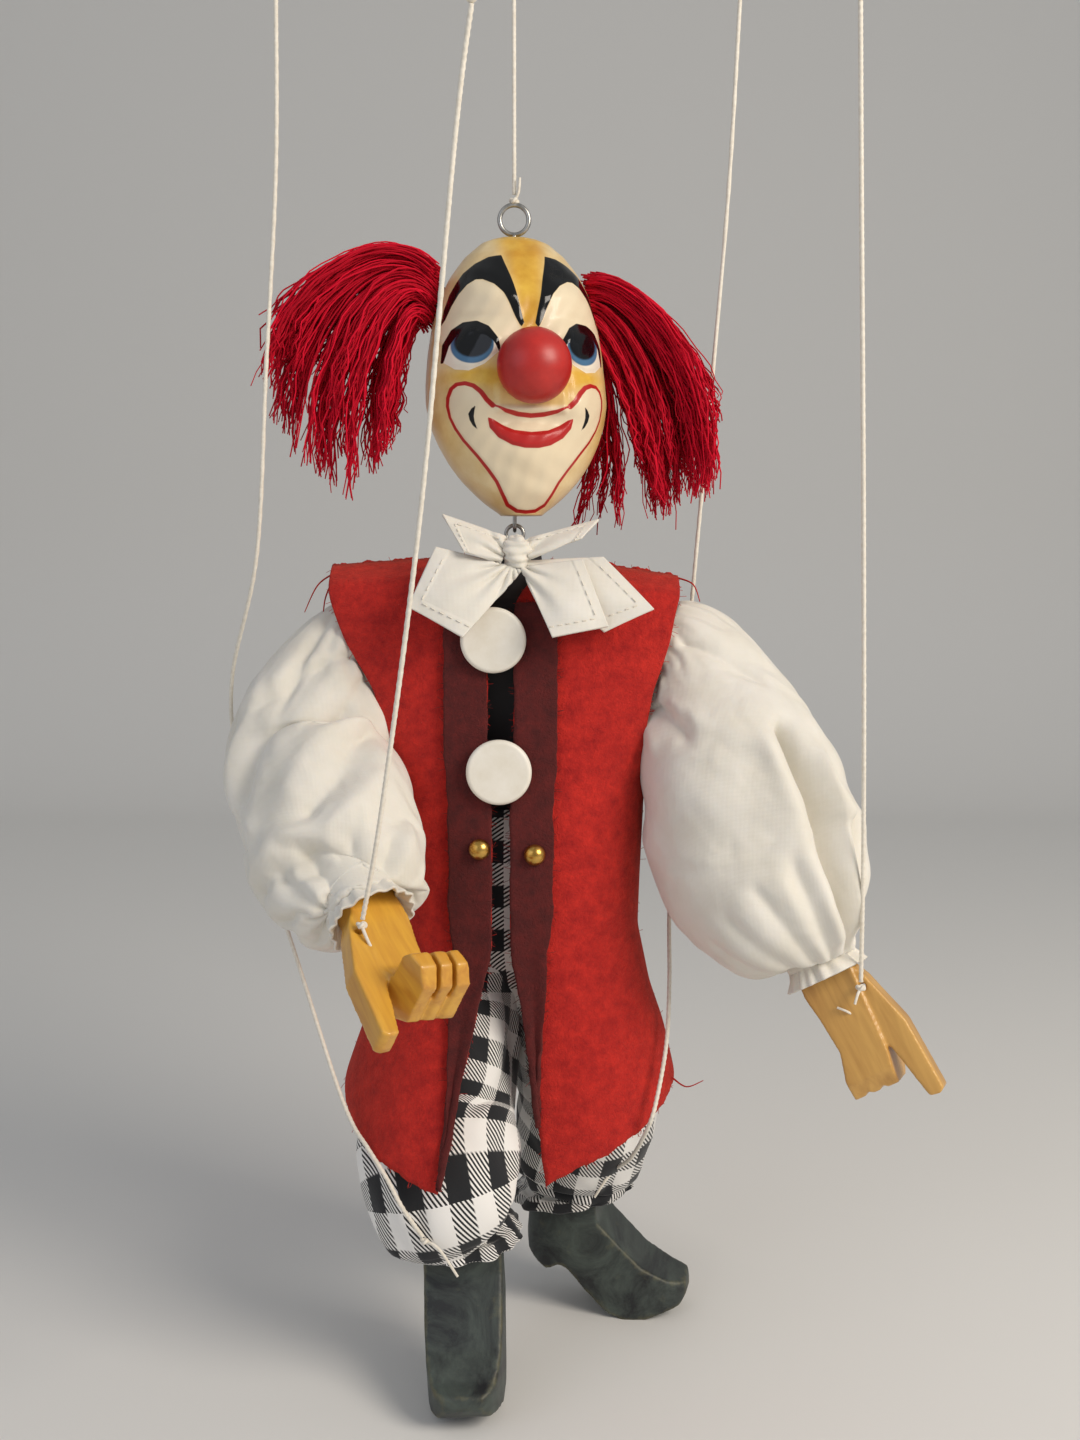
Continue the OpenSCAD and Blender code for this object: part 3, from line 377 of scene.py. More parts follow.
ROUTES = {
    "head": [[0, 0, -6.3]],
    "right_hand": [[-7, -110, -46], [-11, -104, -72], [-20, -90, -150], [-31, -75, -220]],
    "left_hand": [[84, -60, -28], [86, -56, -70], [90, -48, -150], [93.5, -40, -230]],
    "right_knee": [
        [-61, -30, -17], [-62, -29, -60], [-66, -26, -110], [-71, -18, -160], [-83, 4, -196],
        [-82, 6, -222], [-74, 3, -250], [-62, -12, -278], [-50, -30, -304], [-44, -39, -314],
        [-39, -46.5, -318], [-33.5, -52, -324], [-29, -55, -331]],
    "left_knee": [
        [63.5, 6, -4], [61, 9, -60], [56, 14, -130], [52, 18, -185], [49, 17, -230], [46, 6, -262],
        [45, -7, -283], [43.5, -17, -298], [40.5, -23, -312], [38, -25, -320], [34, -13, -334]],
}
KNOT_R, TIE_GAP = 1.4, 0.3
STRING_STEP, STRING_SIDES = 0.7, 8
PLIES, PLY_DEPTH, TWIST_PITCH = 2, 0.1, 3.2
for part, route in ROUTES.items():
    tie = tie_point(part + "_knot")
    route = np.array(route, float)
    end = tie + unit(route[-1] - tie) * (KNOT_R + TIE_GAP)
    points = np.concatenate([[end], route[::-1]])
    path = through(points, int(line_length(points) / STRING_STEP))
    twist = tube(path, STRING_D / 2, STRING_SIDES, PLIES, TWIST_PITCH, PLY_DEPTH)
    string = solid(part + "_thread", twist)
    dress(string, thread)
    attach(string, "head" if part == "head" else part + "_string")
    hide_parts(part + "_string")
    dress(nodes[part + "_loop"], thread)

# %% [markdown]
# ## Knots
#
# Each tie is an overhand knot with a short cut tail. A trefoil is the closed form of that knot, so
# the thread's tube carried along a small trefoil gives the lumps that a real knot shows.

# %% Overhand knots
TAILS = {
    "head": [[0, 0, 0], [1.2, -1.0, 2.2], [1.6, -1.6, 6.0]],
    "right_hand": [[0, 0, 0], [1.6, -2.2, -3], [4.2, -2.0, -8.5]],
    "left_hand": [[0, 0, 0], [-1.2, -1.6, -1.5], [-2.0, -2.2, -4.0]],
    "right_knee": [[0, 0, 0], [4, -2.5, -1.5], [8.8, -3.2, -8.5]],
    "left_knee": [[0, 0, 0], [-3, -3.4, -2.5], [-6.0, -4.0, -7.0]],
}
BODY_OF_KNOT = {"head": "head", "right_hand": "right_forearm", "left_hand": "left_forearm",
                "right_knee": "right_thigh", "left_knee": "left_thigh"}
KNOT_STEPS, COIL_R, PLY_R, TAIL_R = 73, 0.36, STRING_D * 0.42, STRING_D * 0.3
s = np.linspace(0, 2 * np.pi, KNOT_STEPS)
trefoil = np.stack([np.sin(s) + 2 * np.sin(2 * s), np.cos(s) - 2 * np.cos(2 * s), -np.sin(3 * s)],
                   axis=-1)
for part, tail in TAILS.items():
    tie = tie_point(part + "_knot")
    coil = tube(tie + trefoil * COIL_R, PLY_R, STRING_SIDES)
    run = tie + through(tail, KNOT_STEPS)
    end = tube(run, np.linspace(PLY_R, TAIL_R, KNOT_STEPS), STRING_SIDES)
    knot = solid(part + "_tie", np.stack([coil, end]))
    dress(knot, thread)
    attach(knot, BODY_OF_KNOT[part])
    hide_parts(part + "_knot")

# %% [markdown]
# ## Carved head
#
# The head is one block of limewood, carved to an upside-down egg with raised eyes, cheeks and lips.
# A mesh could be sculpted, but the carving is a height over a smooth egg, so it is one function of
# the turn round the head and the share of its height. The same profiles shape the solid.

# %% Egg profiles
HEAD_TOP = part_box("head")[1].z / MM
HEAD_H = HEAD_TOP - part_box("head")[0].z / MM
HEAD_W = 51
HEAD_D = 51
HEAD_TURN = np.radians(11)
SIDE = [
    [0, 0.0], [0.006, 0.17], [0.015, 0.27], [0.03, 0.38], [0.08, 0.56], [0.15, 0.72], [0.22, 0.82],
    [0.32, 0.91], [0.42, 0.96], [0.52, 0.99], [0.6, 1], [0.68, 0.96], [0.75, 0.88], [0.82, 0.77],
    [0.88, 0.64], [0.94, 0.46], [0.97, 0.35], [0.99, 0.27], [1, 0.19]]
FRONT = [
    [0, 0.0], [0.006, 0.07], [0.015, 0.12], [0.03, 0.17], [0.08, 0.26], [0.15, 0.35], [0.25, 0.43],
    [0.4, 0.48], [0.6, 0.5], [0.8, 0.47], [0.92, 0.42], [1, 0.33]]
BACK = [
    [0, 0.0], [0.006, 0.07], [0.015, 0.12], [0.03, 0.17], [0.08, 0.27], [0.15, 0.36], [0.25, 0.45],
    [0.4, 0.5], [0.52, 0.47], [0.65, 0.36], [0.78, 0.22], [0.88, 0.1], [0.95, 0.01], [1, -0.09]]

HEAD_ROWS, HEAD_COLUMNS = 230, 340
EGG_BLUR, EGG_FULLNESS = 0.02, 0.9
share = np.concatenate([[0.0004, 0.003, 0.008], np.linspace(0.015, 1, HEAD_ROWS)])[:, None]
angle = np.linspace(0, 2 * np.pi, HEAD_COLUMNS, endpoint=False)[None, :]


def profile(table, low, high):
    """Profile by share of the height, with its corners rounded from a share between low and high
    downwards. Above it the table is read as it is, so that the crown stays full."""
    rounded = step(share, low, high)
    return read(table, share, EGG_BLUR) * rounded + read(table, share) * (1 - rounded)


egg_side = HEAD_W / 2 * profile(SIDE, 0.05, 0.12)
egg_front = HEAD_D * profile(FRONT, 0.04, 0.1)
egg_back = HEAD_D * profile(BACK, 0.04, 0.1)
egg_x = egg_side * squared(np.cos(angle), EGG_FULLNESS)
egg_s = squared(np.sin(angle), EGG_FULLNESS)
egg_y = (egg_back - egg_front) / 2 + egg_s * (egg_front + egg_back) / 2
egg_drop = np.broadcast_to(share * HEAD_H, egg_x.shape)
facing = step(-egg_s, 0.05, 0.45)
print("egg", egg_x.shape)

# %% [markdown]
# ## Face outlines
#
# The face is painted by hand. Each shape is an outline in millimetres: across from the middle of
# the face, and down from the crown. The left half is drawn once and mirrored. Distances from an
# outline serve twice: the carving rises inside it, and the paint ends where the distance crosses
# zero.

# %% Outlines in millimetres
BROW = [
    [22.2, 26.6], [21.2, 22], [19.7, 17.9], [17.9, 14.8], [16.1, 12.3], [13, 9.8], [9.4, 8],
    [6, 7.6], [5.5, 10], [4.4, 14], [3.4, 18.5], [2.4, 23], [1.5, 27], [2.4, 28.2], [3.8, 25.6],
    [5.1, 22.3], [6.8, 18.9], [9, 16.4], [11.7, 14.8], [13.4, 14.7], [15.6, 16], [17.7, 18.4],
    [19.5, 21.4], [21.1, 25]]
LID = [
    [22.3, 36.6], [21.4, 32.2], [19.3, 28.9], [16.8, 27.5], [14, 27.4], [11.7, 28.7], [9.4, 31.9],
    [8.3, 34.6]]
UNDER_EYE = [
    [22.5, 36.8], [19.5, 39], [16.2, 39.6], [12.3, 38], [8.6, 34.6]]
FOLD = [
    [10.6, 49.2], [12.2, 47.7], [13.6, 45.6], [15.3, 43.9], [17.3, 43.1], [19.3, 43.2],
    [20.6, 44.3], [21.4, 46.6], [21.5, 48.8], [20.9, 51.9], [19.5, 55], [17.4, 58.2], [14.3, 61.9],
    [11.4, 65.5], [8.6, 69.2], [7, 72.3], [5.2, 75.3], [2.6, 76.9], [0, 77.2]]
SMILE_DIMPLE = [
    [14.9, 49.1], [16, 50], [16.7, 51.3], [16.3, 52.9], [15.4, 54.4], [14.2, 55.5], [15, 53.4],
    [15.3, 52], [15.2, 50.5]]
UPPER_LIP = [
    [-9.7, 49.4], [-7, 50.6], [-3.5, 51.4], [0, 51.7], [3.5, 51.4], [7, 50.6], [9.7, 49.4]]
LOWER_LIP = [
    [-11.8, 52.3], [-10.2, 52.8], [-7.8, 54.3], [-4.6, 55.6], [0, 56.1], [4.6, 55.6], [7.8, 54.3],
    [10.2, 52.8], [11.8, 52.3], [11.2, 55], [8.9, 57.6], [5.3, 59.6], [1.9, 60.4], [-1.9, 60.4],
    [-5.3, 59.6], [-8.9, 57.6], [-11.2, 55]]
IRIS_AT, IRIS_R = (15.2, 32.9), (5.2, 4.9)


def near_line(x, y, line, half):
    """Depth inside a drawn line: its half-width at the nearest place minus the distance to it."""
    p = np.array(line, float)
    half = np.broadcast_to(half, len(p))
    a, ab = p[:-1], np.diff(p, axis=0)
    px, py = x[..., None] - a[:, 0], y[..., None] - a[:, 1]
    t = np.clip((px * ab[:, 0] + py * ab[:, 1]) / (ab**2).sum(1), 0, 1)
    gap = np.hypot(px - t * ab[:, 0], py - t * ab[:, 1])
    return (half[:-1] + t * np.diff(half) - gap).max(-1)


def inside(x, y, outline):
    """Depth inside a closed outline: the distance to its edge, negative outside. A point is inside
    when a line drawn from it to the right crosses the edge an odd number of times."""
    p = np.array(outline + outline[:1], float)
    x0, y0, x1, y1 = p[:-1, 0], p[:-1, 1], p[1:, 0], p[1:, 1]
    across = (y0 > y[..., None]) != (y1 > y[..., None])
    at = x0 + (y[..., None] - y0) * (x1 - x0) / np.where(y1 == y0, 1e-9, y1 - y0)
    odd = (across & (x[..., None] < at)).sum(-1) % 2 == 1
    return np.where(odd, 1, -1) * -near_line(x, y, outline + outline[:1], 0.0)


def oval(x, y, at, r):
    """Depth inside an upright oval, in mm near its edge."""
    return (1 - np.hypot((x - at[0]) / r[0], (y - at[1]) / r[1])) * min(r)


# %% Painted areas
mirrored = np.abs(egg_x)
brow = inside(mirrored, egg_drop, BROW)
lid = near_line(mirrored, egg_drop, LID, [0.35, 0.8, 1.0, 1.15, 1.15, 1.0, 0.8, 0.3])
eye = inside(mirrored, egg_drop, LID + UNDER_EYE[::-1][1:-1])
iris = np.minimum(oval(mirrored, egg_drop, IRIS_AT, IRIS_R), eye + 0.8)
pupil = oval(mirrored, egg_drop, (IRIS_AT[0] - 0.2, IRIS_AT[1] - 0.9), (4.6, 4.2))
fold_half = np.interp(np.arange(len(FOLD)), [0, 4, 9, 12, 18], [0.75, 0.62, 0.28, 0.36, 0.5])
fold = near_line(mirrored, egg_drop, FOLD, fold_half)
dimple = inside(mirrored, egg_drop, SMILE_DIMPLE)
upper_lip = near_line(egg_x, egg_drop, UPPER_LIP, [0.25, 0.5, 0.6, 0.6, 0.6, 0.5, 0.25])
lower_lip = inside(egg_x, egg_drop, LOWER_LIP)
muzzle = inside(egg_x, egg_drop, FOLD + [[-x, y] for x, y in FOLD[-2::-1]])
eye_patch = inside(mirrored, egg_drop, BROW[13:] + [BROW[0], [22.6, 31]] + LID[1:] + [[4, 33]])
print("deepest paint", *(round(float(v.max()), 2) for v in (brow, iris, lower_lip)))


# %% Carving heights
def mound(x0, drop0, wide, tall):
    """Soft mound of height 1 on both sides of the face: a bell across and a bell down."""
    return np.exp(-((mirrored - x0) / wide) ** 2 - ((egg_drop - drop0) / tall) ** 2)


relief = (
    1.6 * mound(10.2, 31.2, 5, 5) + 1.2 * mound(9.2, 18.7, 8, 4) + 2.6 * mound(13.8, 48.4, 7, 8)
    + 2.0 * mound(0, 60.8, 9, 7) - 1.4 * mound(0, 53, 11, 2.2))
relief += 0.9 * step(oval(mirrored, egg_drop, (15.3, 33.3), (7.4, 6.3)), -0.6, 2.6)
under_eye = near_line(mirrored, egg_drop, UNDER_EYE, 0)
relief -= 0.8 * mound(15.5, 25.4, 7, 1.5) + 0.45 * np.exp(-(under_eye / 0.7) ** 2)
relief += 0.55 * step(muzzle, -0.5, 0.9) + 0.7 * step(lower_lip, -0.4, 1.2)
muzzle_rise = step(egg_drop, 42, 46) * (1 - step(egg_drop, 50.2, 51.6))
relief += 1.1 * step(9.6 - mirrored, -0.7, 0.9) * muzzle_rise
relief += 0.18 * step(brow, -0.3, 0.5) + 0.12 * step(upper_lip, -0.2, 0.4)
knife = np.sin(egg_x * 0.9 + 2 * np.sin(egg_drop * 0.23)) * np.sin(egg_drop * 0.61 + 0.4 * egg_x)
relief += 0.16 * knife
head_y = egg_y - relief * facing
cos, sin = np.cos(HEAD_TURN), np.sin(HEAD_TURN)
head_grid = np.stack(
    [egg_x * cos - head_y * sin, egg_x * sin + head_y * cos, HEAD_TOP - egg_drop], axis=-1)
head = solid("head_carving", head_grid)
UNPAINTED = -5
painted = {
    "black": np.maximum.reduce([brow, lid, dimple]),
    "red": np.maximum.reduce([fold, upper_lip, lower_lip]),
    "eye": eye, "iris": iris, "pupil": np.minimum(pupil, iris),
    "pale": np.maximum(muzzle, eye_patch)}
for name, depth in painted.items():
    store(head, name, np.where(facing > 0.02, depth, UNPAINTED))
brow_gap = 2.6 + 0.16 * np.maximum(30 - egg_drop, 0)
ochre = (
    np.exp(-(mirrored / brow_gap) ** 4) * (1 - step(egg_drop, 28, 34))
    + 0.9 * mound(10, 41.5, 6, 4.2) + 0.75 * mound(17, 41, 6.5, 2.6) + 0.6 * mound(0, 47, 10, 3.4)
    + 0.45 * mound(22, 57, 5, 12))
store(head, "ochre", np.clip(ochre, 0, 1) * (0.25 + 0.75 * facing))
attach(head, "head")
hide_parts("head")

# %% [markdown]
# ## Face paint
#
# Oil paint over a cream ground, under a thin satin varnish. The brush leaves soft ochre on the
# forehead and cheeks, and hard edges on brows, lips and eyes. Each stored depth is turned into a
# mask about a fifth of a millimetre wide, and the colours are laid one over another in the order of
# painting.

# %% Painted limewood
EDGE, IRIS_EDGE, PUPIL_EDGE, PALE_EDGE = 0.1, 0.2, 0.4, 0.8
PALE_SHARE = 0.8
BLACK_ROUGHNESS = 0.13
varnish, tree, shader = begin("oil_painted_limewood", Roughness=0.42, Coat_Weight=0.14,
                              Coat_Roughness=0.06, Specular_IOR_Level=0.32)
place = own_place(tree)
cloud = noise(tree, place, 95.0, 5.0, 0.6)
strokes_at = add(tree, "Mapping", {"Vector": place, "Scale": (1.0, 1.0, 0.28)}).outputs[0]


def depth_mask(name, soft=EDGE):
    """Mask that is 1 where the stored depth is positive, with an edge as soft as given, in mm."""
    depth = add(tree, "Attribute", attribute_name=name).outputs["Fac"]
    return add(tree, "MapRange", {"Value": depth, "From Min": -soft, "From Max": soft},
               interpolation_type="SMOOTHSTEP").outputs[0]


ground = ramp(tree, cloud, "#d3b47a", "#e8d4a8", 0.3, 0.72)
wash = ramp(tree, cloud, "#c9942f", "#e2b748", 0.35, 0.65)
skin = over(tree, ground, wash, add(tree, "Attribute", attribute_name="ochre").outputs["Fac"])
pale = calc(tree, "MULTIPLY", depth_mask("pale", PALE_EDGE), PALE_SHARE)
skin = over(tree, skin, linear("#e6d8bd"), pale)
for name, colour, soft in (
        ("eye", "#efe6d4", EDGE), ("iris", "#436d90", IRIS_EDGE), ("pupil", "#06090d", PUPIL_EDGE),
        ("red", "#b3211f", EDGE), ("black", "#08090a", EDGE)):
    skin = over(tree, skin, linear(colour), depth_mask(name, soft))
dark = calc(tree, "MAXIMUM", depth_mask("black"), depth_mask("pupil", PUPIL_EDGE))
gloss = spread(tree, dark, spread(tree, cloud, 0.26, 0.46), BLACK_ROUGHNESS)
feed(tree, shader, skin, noise(tree, strokes_at, 520.0, 4.0), 0.12, 0.0004, rough=gloss)
dress(head, varnish)

# %% [markdown]
# ## Ball nose
#
# A turned ball, dipped in red paint. The solid's shape is right, so it only gets its finish: a deep
# red that is a little uneven, with the soft gleam of worn satin paint.

# %% Nose paint
nose_paint, tree, shader = begin("red_satin_paint", Roughness=0.42, Coat_Weight=0.15,
                                 Coat_Roughness=0.3)
place = own_place(tree)
tone = ramp(tree, noise(tree, place, 120.0, 6.0, 0.65), "#9c1614", "#c2261d", 0.25, 0.75)
feed(tree, shader, tone, noise(tree, place, 1400.0, 2.0), 0.08, 0.0003)
nodes["nose_ball"].data.shade_smooth()
dress(nodes["nose_ball"], nose_paint)

# %% [markdown]
# ## Yarn hair
#
# Each bunch is a hank of crimson wool yarn nailed to the side of the head. It stands out, arches
# and falls, and its ends are crimped. Particle hair would not export, so every strand is a thin
# tube along a curve with four control points, and the whole bunch is one stack of grids.

# %% Wool strands
YARN_R, YARN_SIDES = 0.25, 5
STRANDS, STRAND_STEPS = 800, 20
LOCKS = 46
LOCK_PULL = (0, 0.15, 0.65, 0.95)
SPREAD, STRAY_SPREAD, STRAY_SHARE = np.array([1.2, 1.7, 1.6, 0.8]), [0, 0.6, 1.6, 3.4], 0.12
SPREAD_XYZ = [0.8, 0.8, 0.7]
DEPTH_SPREAD = np.array([0.5, 1, 1.2, 1.4])
LOCK_SHORT, STRAND_SHORT = 0.75, 0.35
CRIMP_SIZE, CRIMP_TURN, THICKNESS = (0.35, 1.3), (20, 44), (0.75, 1.2)


def hank(seed, lean, roots, apexes, falls, tips, depths):
    """Strands fanned between rows of guide curves. The fan is split into locks: a strand starts at
    its own share of the fan and drifts to its lock's share at the tip, with a random shift that
    grows on the way. Its curve is a cubic with four control points."""
    rng = np.random.default_rng(seed)
    f = np.sort(rng.random(STRANDS)) ** lean
    lock = np.minimum((f * LOCKS).astype(int), LOCKS - 1)
    lock_f = np.sort(rng.random(LOCKS))[lock]
    lock_y = rng.uniform(-1, 1, LOCKS)[lock]
    lock_short = rng.random(LOCKS)[lock]
    keys = np.linspace(0, 1, 4)
    rows = []
    for pull, row in zip(LOCK_PULL, (roots, apexes, falls, tips)):
        at = f + (lock_f - f) * pull
        axes = [np.interp(at, keys, axis) for axis in np.array(row, float).T]
        rows.append(np.stack(axes, axis=-1))
    shift = SPREAD + (rng.random((STRANDS, 1)) < STRAY_SHARE) * STRAY_SPREAD
    jitter = rng.normal(size=(STRANDS, 4, 3)) * shift[..., None] * SPREAD_XYZ
    control = np.stack(rows, axis=1) + jitter
    deeper = rng.normal(size=(STRANDS, 1)) * DEPTH_SPREAD
    control[..., 1] += lock_y[:, None] * np.array(depths) + deeper
    short = LOCK_SHORT * lock_short[:, None] ** 1.6 + STRAND_SHORT * rng.random((STRANDS, 1)) ** 2
    control[:, 3] += (control[:, 2] - control[:, 3]) * short
    u = np.linspace(0, 1, STRAND_STEPS)[None, :, None]
    a, b, c, d = (control[:, k:k + 1] for k in range(4))
    path = a * (1 - u)**3 + 3 * b * u * (1 - u)**2 + 3 * c * u**2 * (1 - u) + d * u**3
    phase = rng.uniform(0, 2 * np.pi, (STRANDS, 1, 2))
    size = rng.uniform(*CRIMP_SIZE, (STRANDS, 1, 1)) * u**1.3
    path[..., :2] += np.sin(u * rng.uniform(*CRIMP_TURN, (STRANDS, 1, 1)) + phase) * size
    radius = YARN_R * (1 - 0.3 * u[..., 0] ** 4) * rng.uniform(*THICKNESS, (STRANDS, 1))
    return tube(path, radius, YARN_SIDES), rng.random(STRANDS)


right_strands = hank(
    5, 1.3,
    roots=[[-22.5, 0, -80], [-22.5, 1, -85], [-23, 2, -90], [-24.5, 2, -95]],
    apexes=[[-37, -1, -64], [-36, 0, -70], [-33, 0, -78], [-29, 0, -88]],
    falls=[[-64.5, -3, -88], [-58, -4, -95], [-45, -3, -105], [-33, -2, -112]],
    tips=[[-71, -3, -121], [-60, -4, -135], [-47, -4, -148], [-34, -3, -132]],
    depths=[5, 9, 12, 12])
left_strands = hank(
    11, 0.95,
    roots=[[21, 3, -81], [21.5, 4, -86], [21, 6, -91], [17, 10, -96]],
    apexes=[[38, 2, -80], [34, 4, -85], [29, 6, -92], [22, 13, -101]],
    falls=[[59, 3, -110], [50, 4, -113], [38, 6, -119], [25, 15, -126]],
    tips=[[57, 2, -141], [50, 3, -146], [40, 5, -150], [13, 15, -154]],
    depths=[5, 8, 10, 9])
hair = {}
for side, (grid, shade) in (("right", right_strands), ("left", left_strands)):
    hair[side] = solid(side + "_yarn", grid)
    in_rings = np.repeat(shade, grid.shape[1] * grid.shape[2])
    store(hair[side], "strand", np.concatenate([in_rings, shade, shade]))
    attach(hair[side], "head")
    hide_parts(side + "_hair")

# %% Crimson wool
wool, tree, shader = begin("crimson_wool_yarn", Roughness=0.8, Specular_IOR_Level=0.2,
                           Sheen_Weight=0.2, Sheen_Roughness=0.5, Sheen_Tint=linear("#e8304a"))
place = own_place(tree)
strand = add(tree, "Attribute", attribute_name="strand").outputs["Fac"]
tone = ramp(tree, strand, "#a3001a", "#e00c30")
feed(tree, shader, tone, noise(tree, place, 1500.0, 2.0), 0.5, 0.0003)
for piece in hair.values():
    dress(piece, wool)

# %% [markdown]
# ## Felt vest
#
# The vest is cut from thick red felt: a back and two fronts, with maroon strips for lapels. Felt is
# stiff enough to stand away from the body, so its shape is a table of half-widths and depths by
# drop below the shoulder line, with rounded corners. The cut edges are raw, so they wander a
# little.

# %% Vest tables
TRUNK_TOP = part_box("trunk")[1].z / MM
HEM_DROP, TIP_DROP, ARMHOLE_DROP = 155, 179, 66
FELT_T = 1.5
OPENING_X = -3.6
SEAM_TOP, SHOULDER_X, RIGHT_SLOPE, LEFT_SLOPE = 3, 50, 3.4, 6.4
SEAM_ROUND = 5
SHOULDER_SHIFT = 2.7
FLARE, FLARE_FROM, FLARE_RUN = 3, 130, 25
VEST_FULLNESS = 0.8
HALF_WIDTH = [
    [3, 64], [20, 60], [41, 50], [55, 42], [66, 37], [110, 35], [128, 38.5], [140, 42.5], [155, 46],
    [179, 47]]
ARMHOLE_EDGE = [[3, 50], [14, 49], [27, 45], [41, 38.5], [55, 36], [66, 36.4]]
BACK_DEPTH = [
    [3, 0.9], [6, 10], [10, 15], [14, 18], [26, 20.5], [66, 22], [110, 24.5], [155, 32]]
FRONT_DEPTH = [[3, 0.9], [6, 10], [10, 15.5], [14, 18.5], [26, 21.5], [60, 23.5], [100, 25]]
RIGHT_DEPTH = FRONT_DEPTH + [[118, 29], [136, 42], [150, 51.5], [157, 55.5], [179, 62]]
LEFT_DEPTH = FRONT_DEPTH + [[140, 26.5], [179, 29]]
OPENING = [[3, 12], [16, 3.7], [55, 3.7], [75, 2.5], [112, 2.6]]
RIGHT_OPENING = OPENING + [[135, 8.2], [179, 18]]
LEFT_OPENING = OPENING + [[135, 6.8], [179, 12.5]]


def vest_width(side, drop):
    """Half-width of the vest at a drop below the shoulder line, a little flared on the right."""
    flare = FLARE * np.maximum(drop - FLARE_FROM, 0) / FLARE_RUN
    return read(HALF_WIDTH, drop, 2) + np.where(side < 0, flare, 0)


def vest_angle(side, x, drop):
    """Angle round the vest at which its outline lies x from the middle."""
    share = np.maximum(x, 0) / vest_width(side, drop)
    return np.arccos(np.minimum(share ** (1 / VEST_FULLNESS), 1))


def seam_drop(side, x):
    """Drop of the shoulder seam, which slopes to the outside, and more on the left."""
    return SEAM_TOP + np.where(side < 0, RIGHT_SLOPE, LEFT_SLOPE) * x / SHOULDER_X


def seam_close(below):
    """Share of the depth near the shoulder seam: the square root of the drop below it, which rounds
    the shoulder."""
    return np.sqrt(np.clip((below + 0.02) / SEAM_ROUND, 0.01, 1))


def armhole_x(side, drop):
    """Distance of the armhole's edge from the middle. The shoulders sit a little to the right."""
    return read(ARMHOLE_EDGE, drop, 2) - side * SHOULDER_SHIFT * (1 - step(drop, 15, 45))


def vest_point(side, drop, angle, depth, lift):
    """Point on a squared oval: half-width times cosine and depth times sine, both to a power."""
    w, d = vest_width(side, drop) + lift, depth + lift
    cos, sin = (np.maximum(wave(angle), 0) ** VEST_FULLNESS for wave in (np.cos, np.sin))
    return np.stack(np.broadcast_arrays(side * w * cos, d * sin, TRUNK_TOP - drop), axis=-1)


def wander(t, seed, size):
    """Smooth uneven line: three sine waves of odd lengths, for edges cut by hand."""
    waves = np.sin(9 * t + seed) + 0.7 * np.sin(23 * t + 2 * seed) + 0.4 * np.sin(61 * t + 3 * seed)
    return size * waves / 2


def vest_front(side, opening, depth, tip, columns, rows, from_top=0, width=0):
    """Front panel: columns from the front edge to the side seam, rows from hem to shoulder. Each
    point takes its drop from its row and its place round the oval from its column. With a width it
    is a lapel instead: a strip along the front edge that starts at from_top."""
    u, v = np.meshgrid(np.linspace(0, 1, columns), np.linspace(0, 1, rows))
    hem = tip + (HEM_DROP - tip) * u**0.8 + wander(u * 3, side, 0.5)
    low = hem if not width else tip - 5 * u
    high = np.maximum(from_top, seam_drop(side, 12 + 38 * u))
    drop = low + (high - low) * v
    edge_x = read(opening, drop, 3) + wander(v * 5, side + 2, 0.25)
    inner = edge_x + side * OPENING_X * np.clip((drop - 3) / 11, 0, 1)
    armhole = drop < ARMHOLE_DROP
    outer = np.where(armhole, armhole_x(side, drop), vest_width(side, drop))
    if width:
        outer = inner + 0.4 + width * (1 - step(drop, 95, tip + 2)) + wander(v * 4, side, 0.2)
    edge = vest_angle(side, np.abs(inner), drop)
    start = np.where(inner < 0, np.pi - edge, edge)
    finish = vest_angle(side, outer, drop)
    if not width:
        finish = np.where(armhole, finish, 0.0)
    angle = start + (finish - start) * u
    flip = np.where(angle > np.pi / 2, -1, 1)
    angle = np.where(angle > np.pi / 2, np.pi - angle, angle)
    above = seam_close(drop - high) if not width else 1
    wave = 0.7 * np.sin(7 * u + 5 * v) * np.clip((drop - 95) / 60, 0, 1)
    point = vest_point(side * flip, drop, angle, read(depth, drop, 1.2) * above, wave)
    return point * [1, -1, 1]


def thicken(obj, thickness):
    """Gives a sheet its thickness, half to each side."""
    wall = obj.modifiers.new("thickness", "SOLIDIFY")
    wall.thickness = thickness * MM
    wall.offset = 0
    return obj


# %% Back, fronts and lapels
u, v = np.meshgrid(np.linspace(-1, 1, 121), np.linspace(0, 1, 111))
seam = seam_drop(u, SHOULDER_X * np.abs(u)) + 11 * np.maximum(1 - 3.2 * np.abs(u), 0) ** 1.4
drop = HEM_DROP + wander(u * 3, 5, 0.6) + (seam - HEM_DROP) * v
finish = np.where(drop < ARMHOLE_DROP, vest_angle(u, armhole_x(np.sign(u), drop), drop), 0.0)
close = seam_close(drop - seam)
close = close + (1 - close) * step(0.32 - np.abs(u), 0, 0.12)
fold = 1.2 * np.cos(3 * np.pi * u) * np.maximum(drop - 90, 0) / HEM_DROP
back_grid = vest_point(np.where(u < 0, -1, 1), drop, np.pi / 2 + (finish - np.pi / 2) * np.abs(u),
                       read(BACK_DEPTH, drop, 1.2) * close, fold)
FRONT_GRID, LAPEL_GRID = (61, 141), (21, 141)
LAPEL_CUT = (*LAPEL_GRID, 16, 11.5)
LAPEL_LIFT = [0, -2.2, 0]
right, left = (-1, RIGHT_OPENING, RIGHT_DEPTH), (1, LEFT_OPENING, LEFT_DEPTH)
